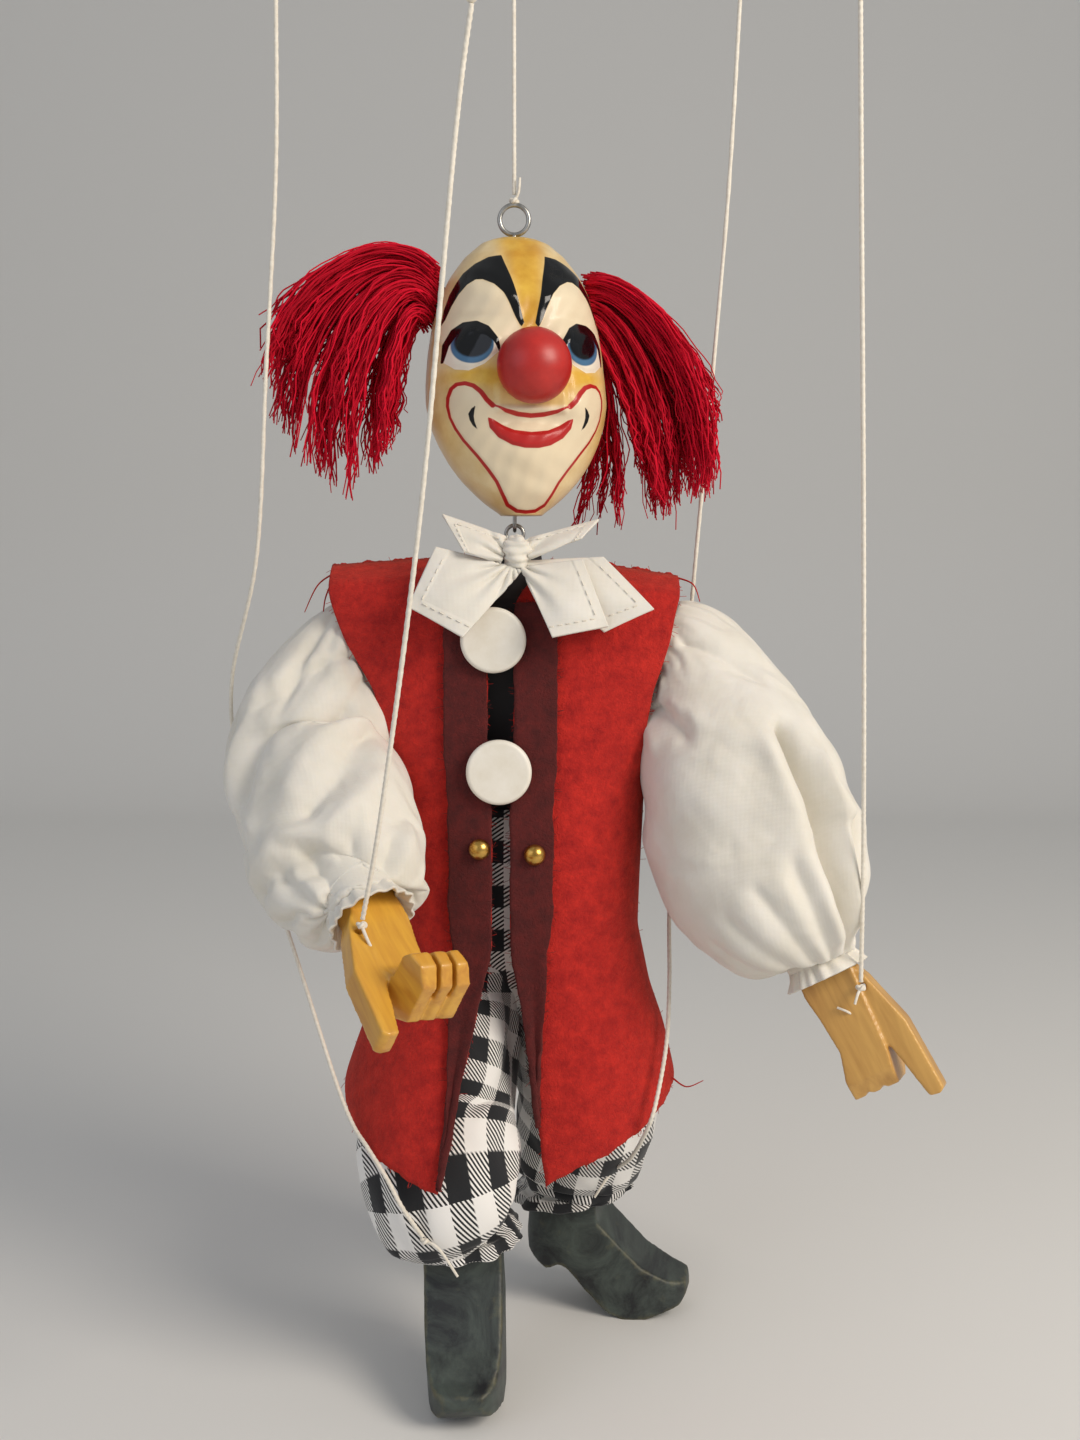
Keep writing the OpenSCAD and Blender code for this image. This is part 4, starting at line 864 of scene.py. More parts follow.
vest = {
    "vest_back": back_grid,
    "right_vest_front": vest_front(*right, TIP_DROP - 9, *FRONT_GRID),
    "left_vest_front": vest_front(*left, TIP_DROP, *FRONT_GRID),
    "right_lapel": vest_front(*right, TIP_DROP - 11, *LAPEL_CUT) + LAPEL_LIFT,
    "left_lapel": vest_front(*left, TIP_DROP - 17, *LAPEL_CUT) + LAPEL_LIFT}


def hang(piece, node):
    """The vest's back rides on the trunk, and a front or lapel has its place baked into its points.
    """
    if node == "vest_back":
        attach(piece, "torso")
        return
    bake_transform(piece)


felt_pieces = {}
for node, grid in vest.items():
    piece = thicken(surface(node + "_felt", grid), FELT_T)
    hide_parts(node)
    hang(piece, node)
    felt_pieces[node] = piece

# %% [markdown]
# ## Felt
#
# Felt is wool pressed into a mat. It shows no weave: a dense cloudy colour, short stray fibres that
# catch the light at grazing angles, and small pills on its face.


# %% Felt material
def felt(name, dark, light, sheen):
    """Pressed wool: cloudy colour, bump from bent noise at two sizes, and a soft sheen."""
    material, tree, shader = begin(name, Roughness=0.95, Sheen_Weight=0.35, Sheen_Roughness=0.45,
                                   Sheen_Tint=linear(sheen))
    place = own_place(tree)
    tone = ramp(tree, noise(tree, place, 240.0, 8.0, 0.75), dark, light, 0.3, 0.72)
    pill = noise(tree, place, 320.0, 3.0, distortion=3.0)
    fibre = noise(tree, place, 1700.0, 4.0, distortion=1.5)
    feed(tree, shader, tone, calc(tree, "ADD", pill, fibre), 0.75, 0.0006)
    return material


felts = {"red_felt": felt("red_wool_felt", "#96090c", "#d42a1e", "#ff6a48"),
         "maroon_felt": felt("maroon_wool_felt", "#3f0d0e", "#661a18", "#a04a42")}


def dress_felt(piece, node):
    """Lapels are maroon, and the rest of the vest is red."""
    colour = "maroon_felt" if "lapel" in node else "red_felt"
    dress(piece, felts[colour])


for node, piece in felt_pieces.items():
    dress_felt(piece, node)

# %% [markdown]
# ## Bow tie
#
# A square of white cotton, folded and knotted, with five flaps that spread from the knot. Each flap
# is a patch between four corners that swells forwards, and it wrinkles where it enters the knot. A
# machine-stitched hem runs round the outer edges.

# %% Bow flaps
BOW_Z = TRUNK_TOP - 2.7
TIE = np.array([0, -20, BOW_Z - 2])
COTTON_T = 0.7
FLAPS = [
    ([-3.4, -25, -162.0], [-0.9, -21, -155.2], [-19.5, -20, -148.8], [-13.4, -27, -158.8], 1.5),
    ([4.2, -25, -161.0], [3.2, -21, -155.6], [23.4, -20, -150.2], [18.5, -25.5, -155.2], 1.5),
    ([2.5, -25, -163.8], [-21.2, -24, -157.6], [-28.1, -31, -173.7], [-13.3, -36, -181.6], 2.2),
    ([1.0, -22.5, -161.5], [24.6, -22, -160.4], [37.9, -29.5, -174.3], [24.5, -31.5, -180.4], 2.0),
    ([2.0, -25, -163.2], [18.8, -25.5, -161.0], [25.4, -36, -178.7], [10.5, -37, -181.5], 1.8)]
HEM_IN, HEM_RISE = 9, 0.25
STITCH_R, STITCH_POINTS, STITCH_EVERY = 0.2, 5, 8
BAND_R, BAND_STEPS = 2.0, 30


def flap(a, b, c, d, bulge, seed, n=57):
    """Patch between four corners, bulged by a product of half sine waves. Wrinkles fan out from the
    knot: a cosine of the angle round it, fading with the distance. The hem is a doubled outer
    band."""
    k, r = np.meshgrid(np.linspace(0, 1, n), np.linspace(0, 1, n))
    k3, r3 = k[..., None], r[..., None]
    a, b, c, d = map(np.asarray, (a, b, c, d))
    flat = (a * (1 - k3) + b * k3) * (1 - r3) + (d * (1 - k3) + c * k3) * r3
    away = flat - TIE
    far = np.hypot(away[..., 0], away[..., 2])
    round_knot = np.arctan2(away[..., 2], away[..., 0])
    swell = bulge * np.sin(np.pi * k) * np.sin(np.pi * r)
    swell += 0.5 * np.cos(4 * k - 3 * r + 2 * seed) * k * r
    wrinkle = np.cos(15 * round_knot + seed) * np.exp(-(far / 13) ** 2) * np.minimum(far / 5, 1)
    hem = HEM_RISE * step(np.maximum(r, k), 1 - (HEM_IN + 1) / n, 1 - HEM_IN / n)
    return flat - np.stack([0 * k, swell + wrinkle + hem, 0 * k], axis=-1)


flaps = np.stack([flap(*corners, seed) for seed, corners in enumerate(FLAPS)])
bow = thicken(surface("bow_tie_cotton", flaps), COTTON_T)
turn = np.linspace(0, 2 * np.pi, 60, endpoint=False)[None, :]
polar = np.linspace(0.02, np.pi - 0.02, 40)[:, None]
crush = 0.35 * np.cos(3 * turn + 4 * np.cos(polar)) + 0.3 * np.cos(14 * polar + 2 * np.sin(turn))
ball = np.stack([
    (3.9 + crush) * np.sin(polar) * np.cos(turn), (4.4 + crush) * np.sin(polar) * np.sin(turn),
    (5.0 + 0.5 * crush) * np.cos(polar)], axis=-1)
knot = solid("bow_tie_knot", TIE + [1, -2.6, 2.2] + ball)
band_path = through([TIE + [0, -1, 0], TIE + [0, 4, 0.4], TIE + [0, 10.5, 0]], BAND_STEPS)
band = solid("bow_tie_band", tube(band_path, BAND_R, 16))
stitch_runs = []
for f in flaps:
    inset = np.concatenate([f[-HEM_IN, 2:-HEM_IN], f[2:-HEM_IN, -HEM_IN][::-1]]) + [0, -0.5, 0]
    whole = len(inset) // STITCH_EVERY * STITCH_EVERY
    stitch_runs.append(inset[:whole].reshape(-1, STITCH_EVERY, 3)[:, :STITCH_POINTS])
stitches = np.concatenate(stitch_runs)
stitching = solid("bow_tie_stitches", tube(stitches, STITCH_R, 5))
for piece in (bow, knot, band, stitching):
    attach(piece, "torso")
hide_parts("bow_tie")

# %% [markdown]
# ## Cotton cloth
#
# Sleeves and bow are plain-weave cotton, off-white. Light passes a little way through it, so the
# shadows inside the folds stay warm. The weave is a fine crossed wave, a third of a millimetre
# apart.


# %% White cotton
def cotton(name, dark, light):
    """Plain weave: crossed waves for the threads, soft clouds, creases, some light through it."""
    material, tree, shader = begin(name, Roughness=0.88, Sheen_Weight=0.25, Subsurface_Weight=0.12,
                                   Subsurface_Radius=(0.002, 0.0015, 0.001))
    place = own_place(tree)
    tone = ramp(tree, noise(tree, place, 60.0, 6.0, 0.6), dark, light, 0.3, 0.7)
    threads = {"Vector": place, "Scale": 950.0, "Distortion": 1.5, "Detail": 2.0}
    rib, cross = (add(tree, "TexWave", threads, bands_direction=way).outputs["Fac"] for way in "ZX")
    crease = noise(tree, place, 70.0, 2.0, distortion=0.4)
    crumpled = add(tree, "Bump", {"Height": crease, "Strength": 0.3, "Distance": 0.004}).outputs[0]
    feed(tree, shader, tone, calc(tree, "ADD", rib, cross), 0.2, 0.0002, Normal=crumpled)
    return material


white_cotton = cotton("white_plain_cotton", "#dcd7ca", "#e6e2d9")
for piece in (bow, knot, band):
    dress(piece, white_cotton)
dress(stitching, thread)

# %% [markdown]
# ## Gathered tubes
#
# Sleeves and trouser legs are tubes of cloth, gathered at both ends. A tube follows a row of
# stations: a centre, a half-width across and a half-width front to back. Folds are ridges along
# listed lines on the unrolled cloth, and the gathers are fine pleats that die out away from the
# ends.

# %% Tube of cloth
FOLD_DEPTH = 1.3
SOLVER_SCALE = 25
SOLVER_FRAMES = 36


def cloth_tube(stations, rows, columns, folds, pleats, ends, seed):
    """Ring at each row square to the track, and the push of its folds at each point. A fold is a
    line between two places (share along, degrees round) with a width and a height: a cusp across
    the line. The ends pleat by a cosine round the ring whose depth falls off with the distance from
    that end."""
    track = through(stations, rows)
    centre = track[:, :3]
    ahead = unit(np.gradient(centre, axis=0))
    across = unit(np.cross([0.0, 1, 0], ahead))
    back = np.cross(ahead, across)
    run = np.concatenate([[0], np.cumsum(np.linalg.norm(np.diff(centre, axis=0), axis=1))])
    turn = np.linspace(0, 2 * np.pi, columns, endpoint=False)
    mean = track[:, 3:].mean()
    height = np.zeros((rows, columns))
    for t0, a0, t1, a1, width, high in folds:
        s0, s1 = t0 * run[-1], t1 * run[-1]
        q0, q1 = np.radians(a0) * mean, np.radians(a1) * mean
        bent = (np.radians(a0 + a1) / 2 - turn + np.pi) % (2 * np.pi) - np.pi
        q = (q0 + q1) / 2 - bent[None, :] * mean
        ds, dq = s1 - s0, q1 - q0
        f = np.clip(((run[:, None] - s0) * ds + (q - q0) * dq) / (ds**2 + dq**2), 0, 1)
        gap = np.hypot(run[:, None] - s0 - f * ds, q - q0 - f * dq)
        reach = width * (0.5 + 0.9 * np.sin(np.pi * np.clip(f, 0.05, 0.95)))
        height += FOLD_DEPTH * high * np.exp(-(gap / reach) ** 1.3)
    rng = np.random.default_rng(seed)
    phase = rng.uniform(0, 2 * np.pi, 8)
    s, q = run[:, None], turn[None, :]
    crumple = 0.32 * np.sin(3 * q + 0.21 * s + phase[0] + 1.6 * np.sin(0.13 * s + phase[1])) \
        + 0.26 * np.sin(5 * q - 0.33 * s + phase[2] + 1.3 * np.sin(2 * q + phase[3])) \
        + 0.16 * np.sin(9 * q + 0.5 * s + phase[4] + 2.0 * np.sin(0.2 * s + 3 * q + phase[5]))
    first, last = ends
    gather = np.exp(-run / first) + np.exp(-(run[-1] - run) / last)
    pleat = np.cos(pleats * q + 1.5 * np.sin(3 * q + phase[6]))
    pleat = pleat + 0.6 * np.cos((pleats * 0.6 // 1) * q + phase[7])
    plain = crumple * (1.2 - 0.5 * np.minimum(gather, 1))[:, None] + 0.6 * gather[:, None] * pleat
    half_x, half_y = (track[:, 3:4] + plain)[..., None], (track[:, 4:5] + plain)[..., None]
    x_way, y_way = across[:, None] * np.cos(turn)[:, None], back[:, None] * np.sin(turn)[:, None]
    points = centre[:, None] + x_way * half_x + y_way * half_y
    return points, (x_way + y_way) * height[..., None], run


def settle(name, grid, growth, pressure, bending, first, last):
    """Lets a tube of cloth find its own folds. The cloth is made larger than its room by the
    growth, its end rows are held, and it sags for some frames. It is worked out at 25 times its
    size, because the solver is tuned for clothes of human size."""
    scene = bpy.context.scene
    rows, columns = grid.shape[:2]
    big = surface(name, grid * SOLVER_SCALE, ring=True)
    group = big.vertex_groups.new(name="held")
    for row in (*range(first), *range(rows - last, rows)):
        group.add(list(range(row * columns, (row + 1) * columns)), 1.0, "REPLACE")
    cloth = big.modifiers.new("cloth", "CLOTH")
    cloth.settings.quality = 7
    cloth.settings.mass = 0.06
    cloth.settings.tension_stiffness = cloth.settings.compression_stiffness = 30
    cloth.settings.shear_stiffness = 12
    cloth.settings.bending_stiffness = bending
    cloth.settings.shrink_min = -growth
    cloth.settings.use_pressure = True
    cloth.settings.uniform_pressure_force = pressure
    cloth.settings.vertex_group_mass = "held"
    cloth.collision_settings.use_collision = False
    cloth.point_cache.frame_end = SOLVER_FRAMES
    for number in range(1, SOLVER_FRAMES + 1):
        scene.frame_set(number)
    evaluated = big.evaluated_get(bpy.context.evaluated_depsgraph_get())
    points = np.zeros(rows * columns * 3, np.float32)
    evaluated.data.vertices.foreach_get("co", points)
    bpy.data.objects.remove(big)
    scene.frame_set(1)
    return points.reshape(rows, columns, 3).astype(float) / (MM * SOLVER_SCALE)


def keep_off(grid, bones, radius):
    """Moves points that lie within the radius of a chain of bones straight out to it."""
    bones = np.asarray(bones, float)
    start, ray = bones[:-1], np.diff(bones, axis=0)
    f = np.clip(((grid[..., None, :] - start) * ray).sum(-1) / (ray**2).sum(-1), 0, 1)
    foot = start + f[..., None] * ray
    gap = np.linalg.norm(grid[..., None, :] - foot, axis=-1)
    nearest = gap.argmin(-1)[..., None]
    foot = np.take_along_axis(foot, nearest[..., None], axis=-2)[..., 0, :]
    short = np.maximum(radius - np.take_along_axis(gap, nearest, axis=-1), 0)
    return grid + unit(grid - foot) * short


def subdivide(obj):
    """Rounds a coarse grid by one step of subdivision."""
    smooth = obj.modifiers.new("round", "SUBSURF")
    smooth.levels = smooth.render_levels = 1
    return obj


def wrap(grid):
    """Grid of a tube with its first column repeated at the end, which closes it."""
    return np.concatenate([grid, grid[:, :1]], axis=1)


def limb_dir(pitch, roll):
    """Direction of a hanging limb, swung forwards by pitch and sideways by roll, in degrees."""
    p, r = np.radians(pitch), np.radians(roll)
    return np.array([-np.sin(r), -np.cos(r) * np.sin(p), -np.cos(r) * np.cos(p)])


def stations(*rows):
    """Track from rows of (point, offset, half across, half front to back)."""
    return np.array([[*(np.asarray(p) + o), a, b] for p, o, a, b in rows], float)


# %% Sleeves
r_shoulder, l_shoulder = turning["right_shoulder_swing"], turning["left_shoulder_swing"]
r_elbow, l_elbow = turning["right_elbow_bend"], turning["left_elbow_bend"]
r_dir, l_dir = limb_dir(52, -26.5), limb_dir(18, -25)
FOREARM_L, ARM_CLEARANCE, BEND_FROM, BEND_TO = 57.5, 9.5, 16, 30
SLEEVE_ROWS, SLEEVE_COLUMNS, SLEEVE_PLEATS = 92, 112, 17
SLEEVE_GATHER, SLEEVE_HELD = (9, 8), (5, 9)
SLEEVE_EASE = {"right": (0.08, 0.75, 0.5), "left": (0.06, 1.0, 0.6)}
r_wrist, l_wrist = r_elbow + FOREARM_L * r_dir, l_elbow + FOREARM_L * l_dir
right_sleeve_track = stations(
    (r_shoulder, [-5.5, 0, -10], 14, 12), (r_shoulder, [-13, -1, -14], 17, 15),
    (r_shoulder, [-20, -4.5, -23], 20, 18.5), (r_shoulder, [-26.3, -9.5, -36], 21.8, 20.5),
    (r_elbow, [9, -12.5, -5.5], 24, 18), (r_elbow, [15, -23, -16], 23, 16.5),
    (r_wrist, [-5, 8, 6.2], 18, 14.5), (r_wrist, -5 * r_dir, 11, 10.5),
    (r_wrist, [0, 0, 0], 9, 8.4), (r_wrist, 6 * r_dir, 11.5, 11))
left_sleeve_track = stations(
    (l_shoulder, [5.5, 0, -10], 14, 12), (l_shoulder, [13, -1, -14], 17, 15),
    (l_shoulder, [20, -4, -24], 20.5, 18.5), (l_elbow, [2, -2, 3], 26, 24),
    (l_elbow, [8, -6, -18], 29, 26), (l_wrist, [-9, 3, 16], 24, 22),
    (l_wrist, -5.5 * l_dir, 13, 12), (l_wrist, [0, 0, 0], 9, 8.4), (l_wrist, 6 * l_dir, 11.5, 11))
RIGHT_FOLDS = [
    (0.45, 195, 0.62, 262, 2.4, -3.2), (0.52, 195, 0.68, 250, 2.8, 1.7),
    (0.40, 205, 0.55, 268, 3.0, 1.5), (0.28, 345, 0.62, 322, 2.2, -2.4),
    (0.28, 322, 0.58, 302, 3.2, 1.5), (0.70, 330, 0.72, 264, 2.2, -2.6),
    (0.65, 328, 0.66, 268, 2.8, 1.4), (0.73, 300, 0.90, 285, 1.8, -2.2),
    (0.71, 272, 0.90, 268, 1.7, -2.2), (0.72, 238, 0.90, 250, 1.7, -2.2),
    (0.74, 208, 0.90, 226, 1.8, -2.2), (0.70, 190, 0.88, 208, 2.2, 1.5),
    (0.72, 255, 0.88, 259, 1.6, 1.2), (0.74, 287, 0.88, 277, 1.6, 1.2),
    (0.06, 268, 0.28, 318, 2.2, -2.0), (0.10, 244, 0.32, 262, 2.0, -1.8),
    (0.12, 290, 0.32, 345, 2.8, 1.4), (0.30, 275, 0.46, 300, 2.4, -1.6),
    (0.56, 20, 0.80, 60, 3.0, -2.0), (0.30, 60, 0.55, 110, 3.0, -2.2),
    (0.45, 130, 0.75, 150, 2.6, -2.0)]
LEFT_FOLDS = [
    (0.16, 318, 0.31, 298, 2.2, -2.6), (0.15, 337, 0.30, 324, 2.2, 1.4),
    (0.20, 300, 0.30, 285, 2.0, 1.0), (0.36, 238, 0.88, 230, 1.7, -9.0),
    (0.38, 253, 0.84, 247, 2.8, 3.0), (0.56, 207, 0.88, 209, 1.6, -6.5),
    (0.42, 222, 0.84, 217, 2.6, 3.4), (0.70, 258, 0.88, 254, 1.7, -1.8),
    (0.72, 282, 0.88, 270, 1.7, -1.8), (0.74, 306, 0.88, 290, 1.8, -1.6),
    (0.72, 268, 0.88, 262, 1.5, 0.9), (0.06, 255, 0.24, 232, 2.2, -1.6),
    (0.76, 330, 0.88, 312, 1.8, -1.4), (0.40, 60, 0.70, 110, 3.0, -2.2),
    (0.50, 20, 0.78, 40, 2.6, -1.8)]
arms = {"right": (right_sleeve_track, RIGHT_FOLDS, 3, r_shoulder, r_elbow, r_wrist, r_dir),
        "left": (left_sleeve_track, LEFT_FOLDS, 8, l_shoulder, l_elbow, l_wrist, l_dir)}
free = slice(SLEEVE_HELD[0] + 1, -SLEEVE_HELD[1] - 1)
for side, (track, folds, seed, shoulder, elbow, wrist, ahead) in arms.items():
    grid, push, run = cloth_tube(
        track, SLEEVE_ROWS, SLEEVE_COLUMNS, folds, SLEEVE_PLEATS, SLEEVE_GATHER, seed)
    grid = settle(side + "_sleeve_cloth", grid, *SLEEVE_EASE[side], *SLEEVE_HELD) + push
    grid[free] = keep_off(grid[free], [shoulder, elbow, wrist], ARM_CLEARANCE)
    sleeve = thicken(subdivide(surface(side + "_sleeve_cotton", grid, ring=True)), COTTON_T)
    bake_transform(sleeve)
    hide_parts(side + "_sleeve")
    dress(sleeve, white_cotton)

# %% [markdown]
# ## Gingham trousers
#
# The trousers are gingham: white and black yarns in quarter-inch stripes both ways. The pattern is
# worked out from the cloth's own coordinates in millimetres, so it follows the gathers.

# %% Gingham material
CHECK = 6.35
HATCH = 1.25
STRIPE_EDGE = 0.015
gingham, tree, shader = begin("gingham_cotton", Roughness=0.9, Sheen_Weight=0.2)
cloth_at = add(tree, "SeparateXYZ", {0: add(tree, "UVMap", uv_map="cloth").outputs[0]})
across, along = cloth_at.outputs[0], cloth_at.outputs[1]


def stripe(value, period):
    """1 over half of each period and 0 over the other half."""
    part = calc(tree, "FRACT", calc(tree, "DIVIDE", value, period))
    return spread(tree, part, 0.0, 1.0, From_Min=0.5 - STRIPE_EDGE, From_Max=0.5 + STRIPE_EDGE)


warp, weft = stripe(across, 2 * CHECK), stripe(along, 2 * CHECK)
hatch = stripe(calc(tree, "ADD", across, along), HATCH)
both = calc(tree, "MULTIPLY", warp, weft)
one = calc(tree, "ABSOLUTE", calc(tree, "SUBTRACT", warp, weft))
black = calc(tree, "ADD", both, calc(tree, "MULTIPLY", one, hatch))
dye = over(tree, linear("#eceae6"), linear("#17191d"), black)
feed(tree, shader, dye, hatch, 0.15, 0.0002)

# %% Trouser legs
r_hip, l_hip = turning["right_hip_swing"], turning["left_hip_swing"]
r_knee, l_knee = turning["right_knee_bend"], turning["left_knee_bend"]
right_leg_track = stations(
    (r_hip, [2, -0.5, -2], 15, 16.5), (r_hip, [0.5, -2, -10], 15.5, 17),
    (r_hip, [-0.5, -4, -18], 16.5, 18), (r_hip, [-3, -11, -29], 20, 19.5),
    (r_hip, [-6.5, -21, -44], 22.5, 20), (r_knee, [-5, -0.5, 6], 22, 19.5),
    (r_knee, [-2.5, 0, -4], 18.5, 17.5), (r_knee, [-0.7, 1, -10], 14.5, 14.5),
    (r_knee, [-0.5, 1.5, -15], 17.5, 17.5))
left_leg_track = stations(
    (l_hip, [-2, 0.5, -2], 14.5, 16.5), (l_hip, [-0.5, 1, -10], 15, 17),
    (l_hip, [0.3, 1.5, -18], 15.5, 17), (l_hip, [3.3, 3, -30], 18, 18),
    (l_hip, [6.5, 6, -47], 19.5, 19.5), (l_knee, [2.5, 0, 0], 19, 18.5),
    (l_knee, [1.5, 0, -8], 17, 16.5), (l_knee, [1, 0, -12], 14.7, 14.7),
    (l_knee, [1.3, 0, -15.5], 18.7, 18.7))
BACK_FOLD = (0.2, 60, 0.6, 100, 4, -2)
LEG_FOLDS = {
    "right": [
        (0.15, 300, 0.5, 330, 4, -2), (0.3, 215, 0.62, 240, 3, -1.8),
        (0.55, 262, 0.78, 285, 2.6, -1.6), (0.6, 322, 0.8, 305, 2.6, -1.3), BACK_FOLD],
    "left": [
        (0.2, 250, 0.62, 275, 3.2, -1.8), (0.35, 300, 0.75, 290, 3, -1.5),
        (0.5, 220, 0.78, 240, 2.6, -1.4), BACK_FOLD]}
LEG_ROWS, LEG_COLUMNS, LEG_PLEATS = 72, 96, 15
LEG_GATHER, LEG_HELD, LEG_EASE = (10, 7), (5, 6), (0.06, 0.3, 0.6)
legs = {"right": (right_leg_track, 21, r_hip, r_knee), "left": (left_leg_track, 27, l_hip, l_knee)}
for side, (track, seed, hip, knee) in legs.items():
    grid, push, _ = cloth_tube(
        track, LEG_ROWS, LEG_COLUMNS, LEG_FOLDS[side], LEG_PLEATS, LEG_GATHER, seed)
    grid = settle(side + "_leg_cloth", grid, *LEG_EASE, *LEG_HELD) + push
    closed = wrap(grid)
    cut = np.cumsum(np.linalg.norm(np.diff(closed, axis=0, prepend=closed[:1]), axis=-1).mean(1))
    girth = np.linalg.norm(np.diff(closed, axis=1), axis=-1).sum(1).max()
    checks = 2 * round(girth / (2 * CHECK))
    uv = np.stack(np.meshgrid(np.linspace(0, checks * CHECK, LEG_COLUMNS + 1), cut), axis=-1)
    leg = thicken(subdivide(surface(side + "_trouser_gingham", grid, ring=True, uv=uv)), COTTON_T)
    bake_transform(leg)
    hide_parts(side + "_trouser_leg")
    dress(leg, gingham)

# %% Trouser seat
SEAT_TOP, SEAT_END, SEAT_COLUMNS = 74, 136, 220
SEAT_X, SEAT_Y, SEAT_FULLNESS = 31.4, 19.2, 0.85
DRAWN_X, DRAWN_Y, WAIST_IN = 20, 11, 1.3
SEAT_CHECKS, CHECK_SHIFT = 26, 0.75
drop = np.linspace(SEAT_TOP, SEAT_END, 90)[:, None]
turn = np.linspace(0, 2 * np.pi, SEAT_COLUMNS, endpoint=False)[None, :]
ease = 0.5 * np.cos(8 * turn) + 0.35 * np.cos(13 * turn + 0.1 * drop) \
    - WAIST_IN * (1 - step(drop, SEAT_TOP, 92))
pouch = step(drop, 112, SEAT_END)
seat_grid = np.stack(np.broadcast_arrays(
    (SEAT_X + ease - DRAWN_X * pouch) * squared(np.cos(turn), SEAT_FULLNESS),
    (SEAT_Y + ease - DRAWN_Y * pouch) * squared(np.sin(turn), SEAT_FULLNESS),
    TRUNK_TOP - drop), axis=-1)
checked = np.linspace(0, SEAT_CHECKS * CHECK, SEAT_COLUMNS + 1) + CHECK_SHIFT * CHECK
uv = np.stack(np.meshgrid(checked, drop[:, 0]), axis=-1)
seat = thicken(surface("trouser_seat_gingham", seat_grid, ring=True, uv=uv), COTTON_T)
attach(seat, "torso")
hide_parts("trouser_seat")
dress(seat, gingham)

# %% [markdown]
# ## Carved hands and boots
#
# The hands and boots are knife work: broad flats with softened edges. Their solids have the right
# forms but hard facets, so each copy is merged, rebuilt in small even cells and smoothed. How far
# smoothing moves a point tells edges from hollows, and the boots' paint reads that number as wear.

# %% Softened copies
MERGE, WEAR_PASSES = 0.00002, 3


def carved(node, name, voxel, passes):
    """Copy of a solid with its points merged, remeshed in voxels and relaxed: each pass moves a
    point half-way to the mean of its neighbours. Keeps the movement along the normal as the wear
    number."""
    bm = bmesh.new()
    bm.from_mesh(nodes[node].data)
    bmesh.ops.remove_doubles(bm, verts=bm.verts, dist=MERGE)
    mesh = bpy.data.meshes.new(name)
    bm.to_mesh(mesh)
    bm.free()
    obj = bpy.data.objects.new(name, mesh)
    obj.matrix_world = nodes[node].matrix_world
    bpy.context.scene.collection.objects.link(obj)
    cells = obj.modifiers.new("cells", "REMESH")
    cells.mode = "VOXEL"
    cells.voxel_size = voxel * MM
    depsgraph = bpy.context.evaluated_depsgraph_get()
    fine = bpy.data.meshes.new_from_object(obj.evaluated_get(depsgraph))
    obj.modifiers.clear()
    obj.data = fine
    count = len(fine.vertices)
    points = np.zeros(count * 3, np.float32)
    fine.vertices.foreach_get("co", points)
    points = points.reshape(-1, 3).astype(float)
    ends = np.zeros(len(fine.edges) * 2, np.int32)
    fine.edges.foreach_get("vertices", ends)
    a, b = ends.reshape(-1, 2).T
    share = np.bincount(a, minlength=count) + np.bincount(b, minlength=count)

    def beside(value):
        """Mean of a number over the neighbours of each point."""
        return (np.bincount(a, value[b], count) + np.bincount(b, value[a], count)) / share

    relaxed = points.copy()
    for _ in range(passes):
        mean = np.stack([beside(relaxed[:, k]) for k in range(3)], axis=-1)
        relaxed += 0.5 * (mean - relaxed)
    fine.vertices.foreach_set("co", relaxed.astype(np.float32).ravel())
    fine.update()
    normals = np.zeros(count * 3, np.float32)
    fine.vertices.foreach_get("normal", normals)
    wear = ((points - relaxed) * normals.reshape(-1, 3)).sum(1) / MM
    for _ in range(WEAR_PASSES):
        wear = 0.5 * wear + 0.5 * beside(wear)
    store(obj, "wear", wear)
    fine.shade_smooth()
    print(name, count, "points, wear up to", round(float(wear.max()), 2))
    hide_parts(node)
    return obj


hands = {s: carved(s + "_hand", s + "_carved_hand", voxel=0.4, passes=5) for s in SIDES}
boots = {s: carved(s + "_boot", s + "_carved_boot", voxel=0.65, passes=4) for s in SIDES}
for side in SIDES:
    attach(hands[side], side + "_forearm")
    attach(boots[side], side + "_lower_leg")


# %% Varnished wood
STRETCH = 8.0


def timber(name, pale, deep, gloss, along):
    """Wood: noise stretched along the limb for the grain and its faint bump, wide clouds for the
    figure. The mapping turns the limb's direction to its own z axis and stretches that."""
    material, tree, shader = begin(name, Coat_Weight=gloss, Coat_Roughness=0.16)
    place = own_place(tree)
    lie = Vector(along).to_track_quat("Z", "Y").to_euler()
    turned = {"Vector": place, "Rotation": lie, "Scale": (1.0, 1.0, STRETCH)}
    stretched = add(tree, "Mapping", turned, vector_type="TEXTURE").outputs[0]
    grain = noise(tree, stretched, 420.0, 6.0, distortion=0.6)
    figure = noise(tree, stretched, 90.0, 3.0)
    mean = calc(tree, "MULTIPLY", calc(tree, "ADD", grain, figure), 0.5)
    tone = ramp(tree, mean, deep, pale, 0.36, 0.62)
    feed(tree, shader, tone, grain, 0.05, 0.0003, rough=spread(tree, figure, 0.34, 0.56))
    return material


# The left hand's wood is paler and less saturated than the right's, under a thinner varnish.
varnished = {"right": timber("varnished_limewood", "#e0a93a", "#c2842a", 0.6, r_dir),
             "left": timber("paler_limewood", "#d2a254", "#b3823c", 0.35, l_dir)}
raw_wood = timber("raw_limewood", "#d9bb88", "#c09c66", 0.0, (0, 0, 1))
for side in SIDES:
    dress(hands[side], varnished[side])
    for part in ("_upper_arm", "_thigh"):
        nodes[side + part].data.shade_smooth()
        dress(nodes[side + part], raw_wood)

# %% Thread stitch
STITCH = [[92.4, -34.9, -284.6], [90.6, -35.2, -283.6], [88.6, -34.4, -283.0]]
stitch = solid("hand_stitch", tube(through(STITCH, 14), 0.35, 8))
dress(stitch, thread)
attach(stitch, "left_forearm")

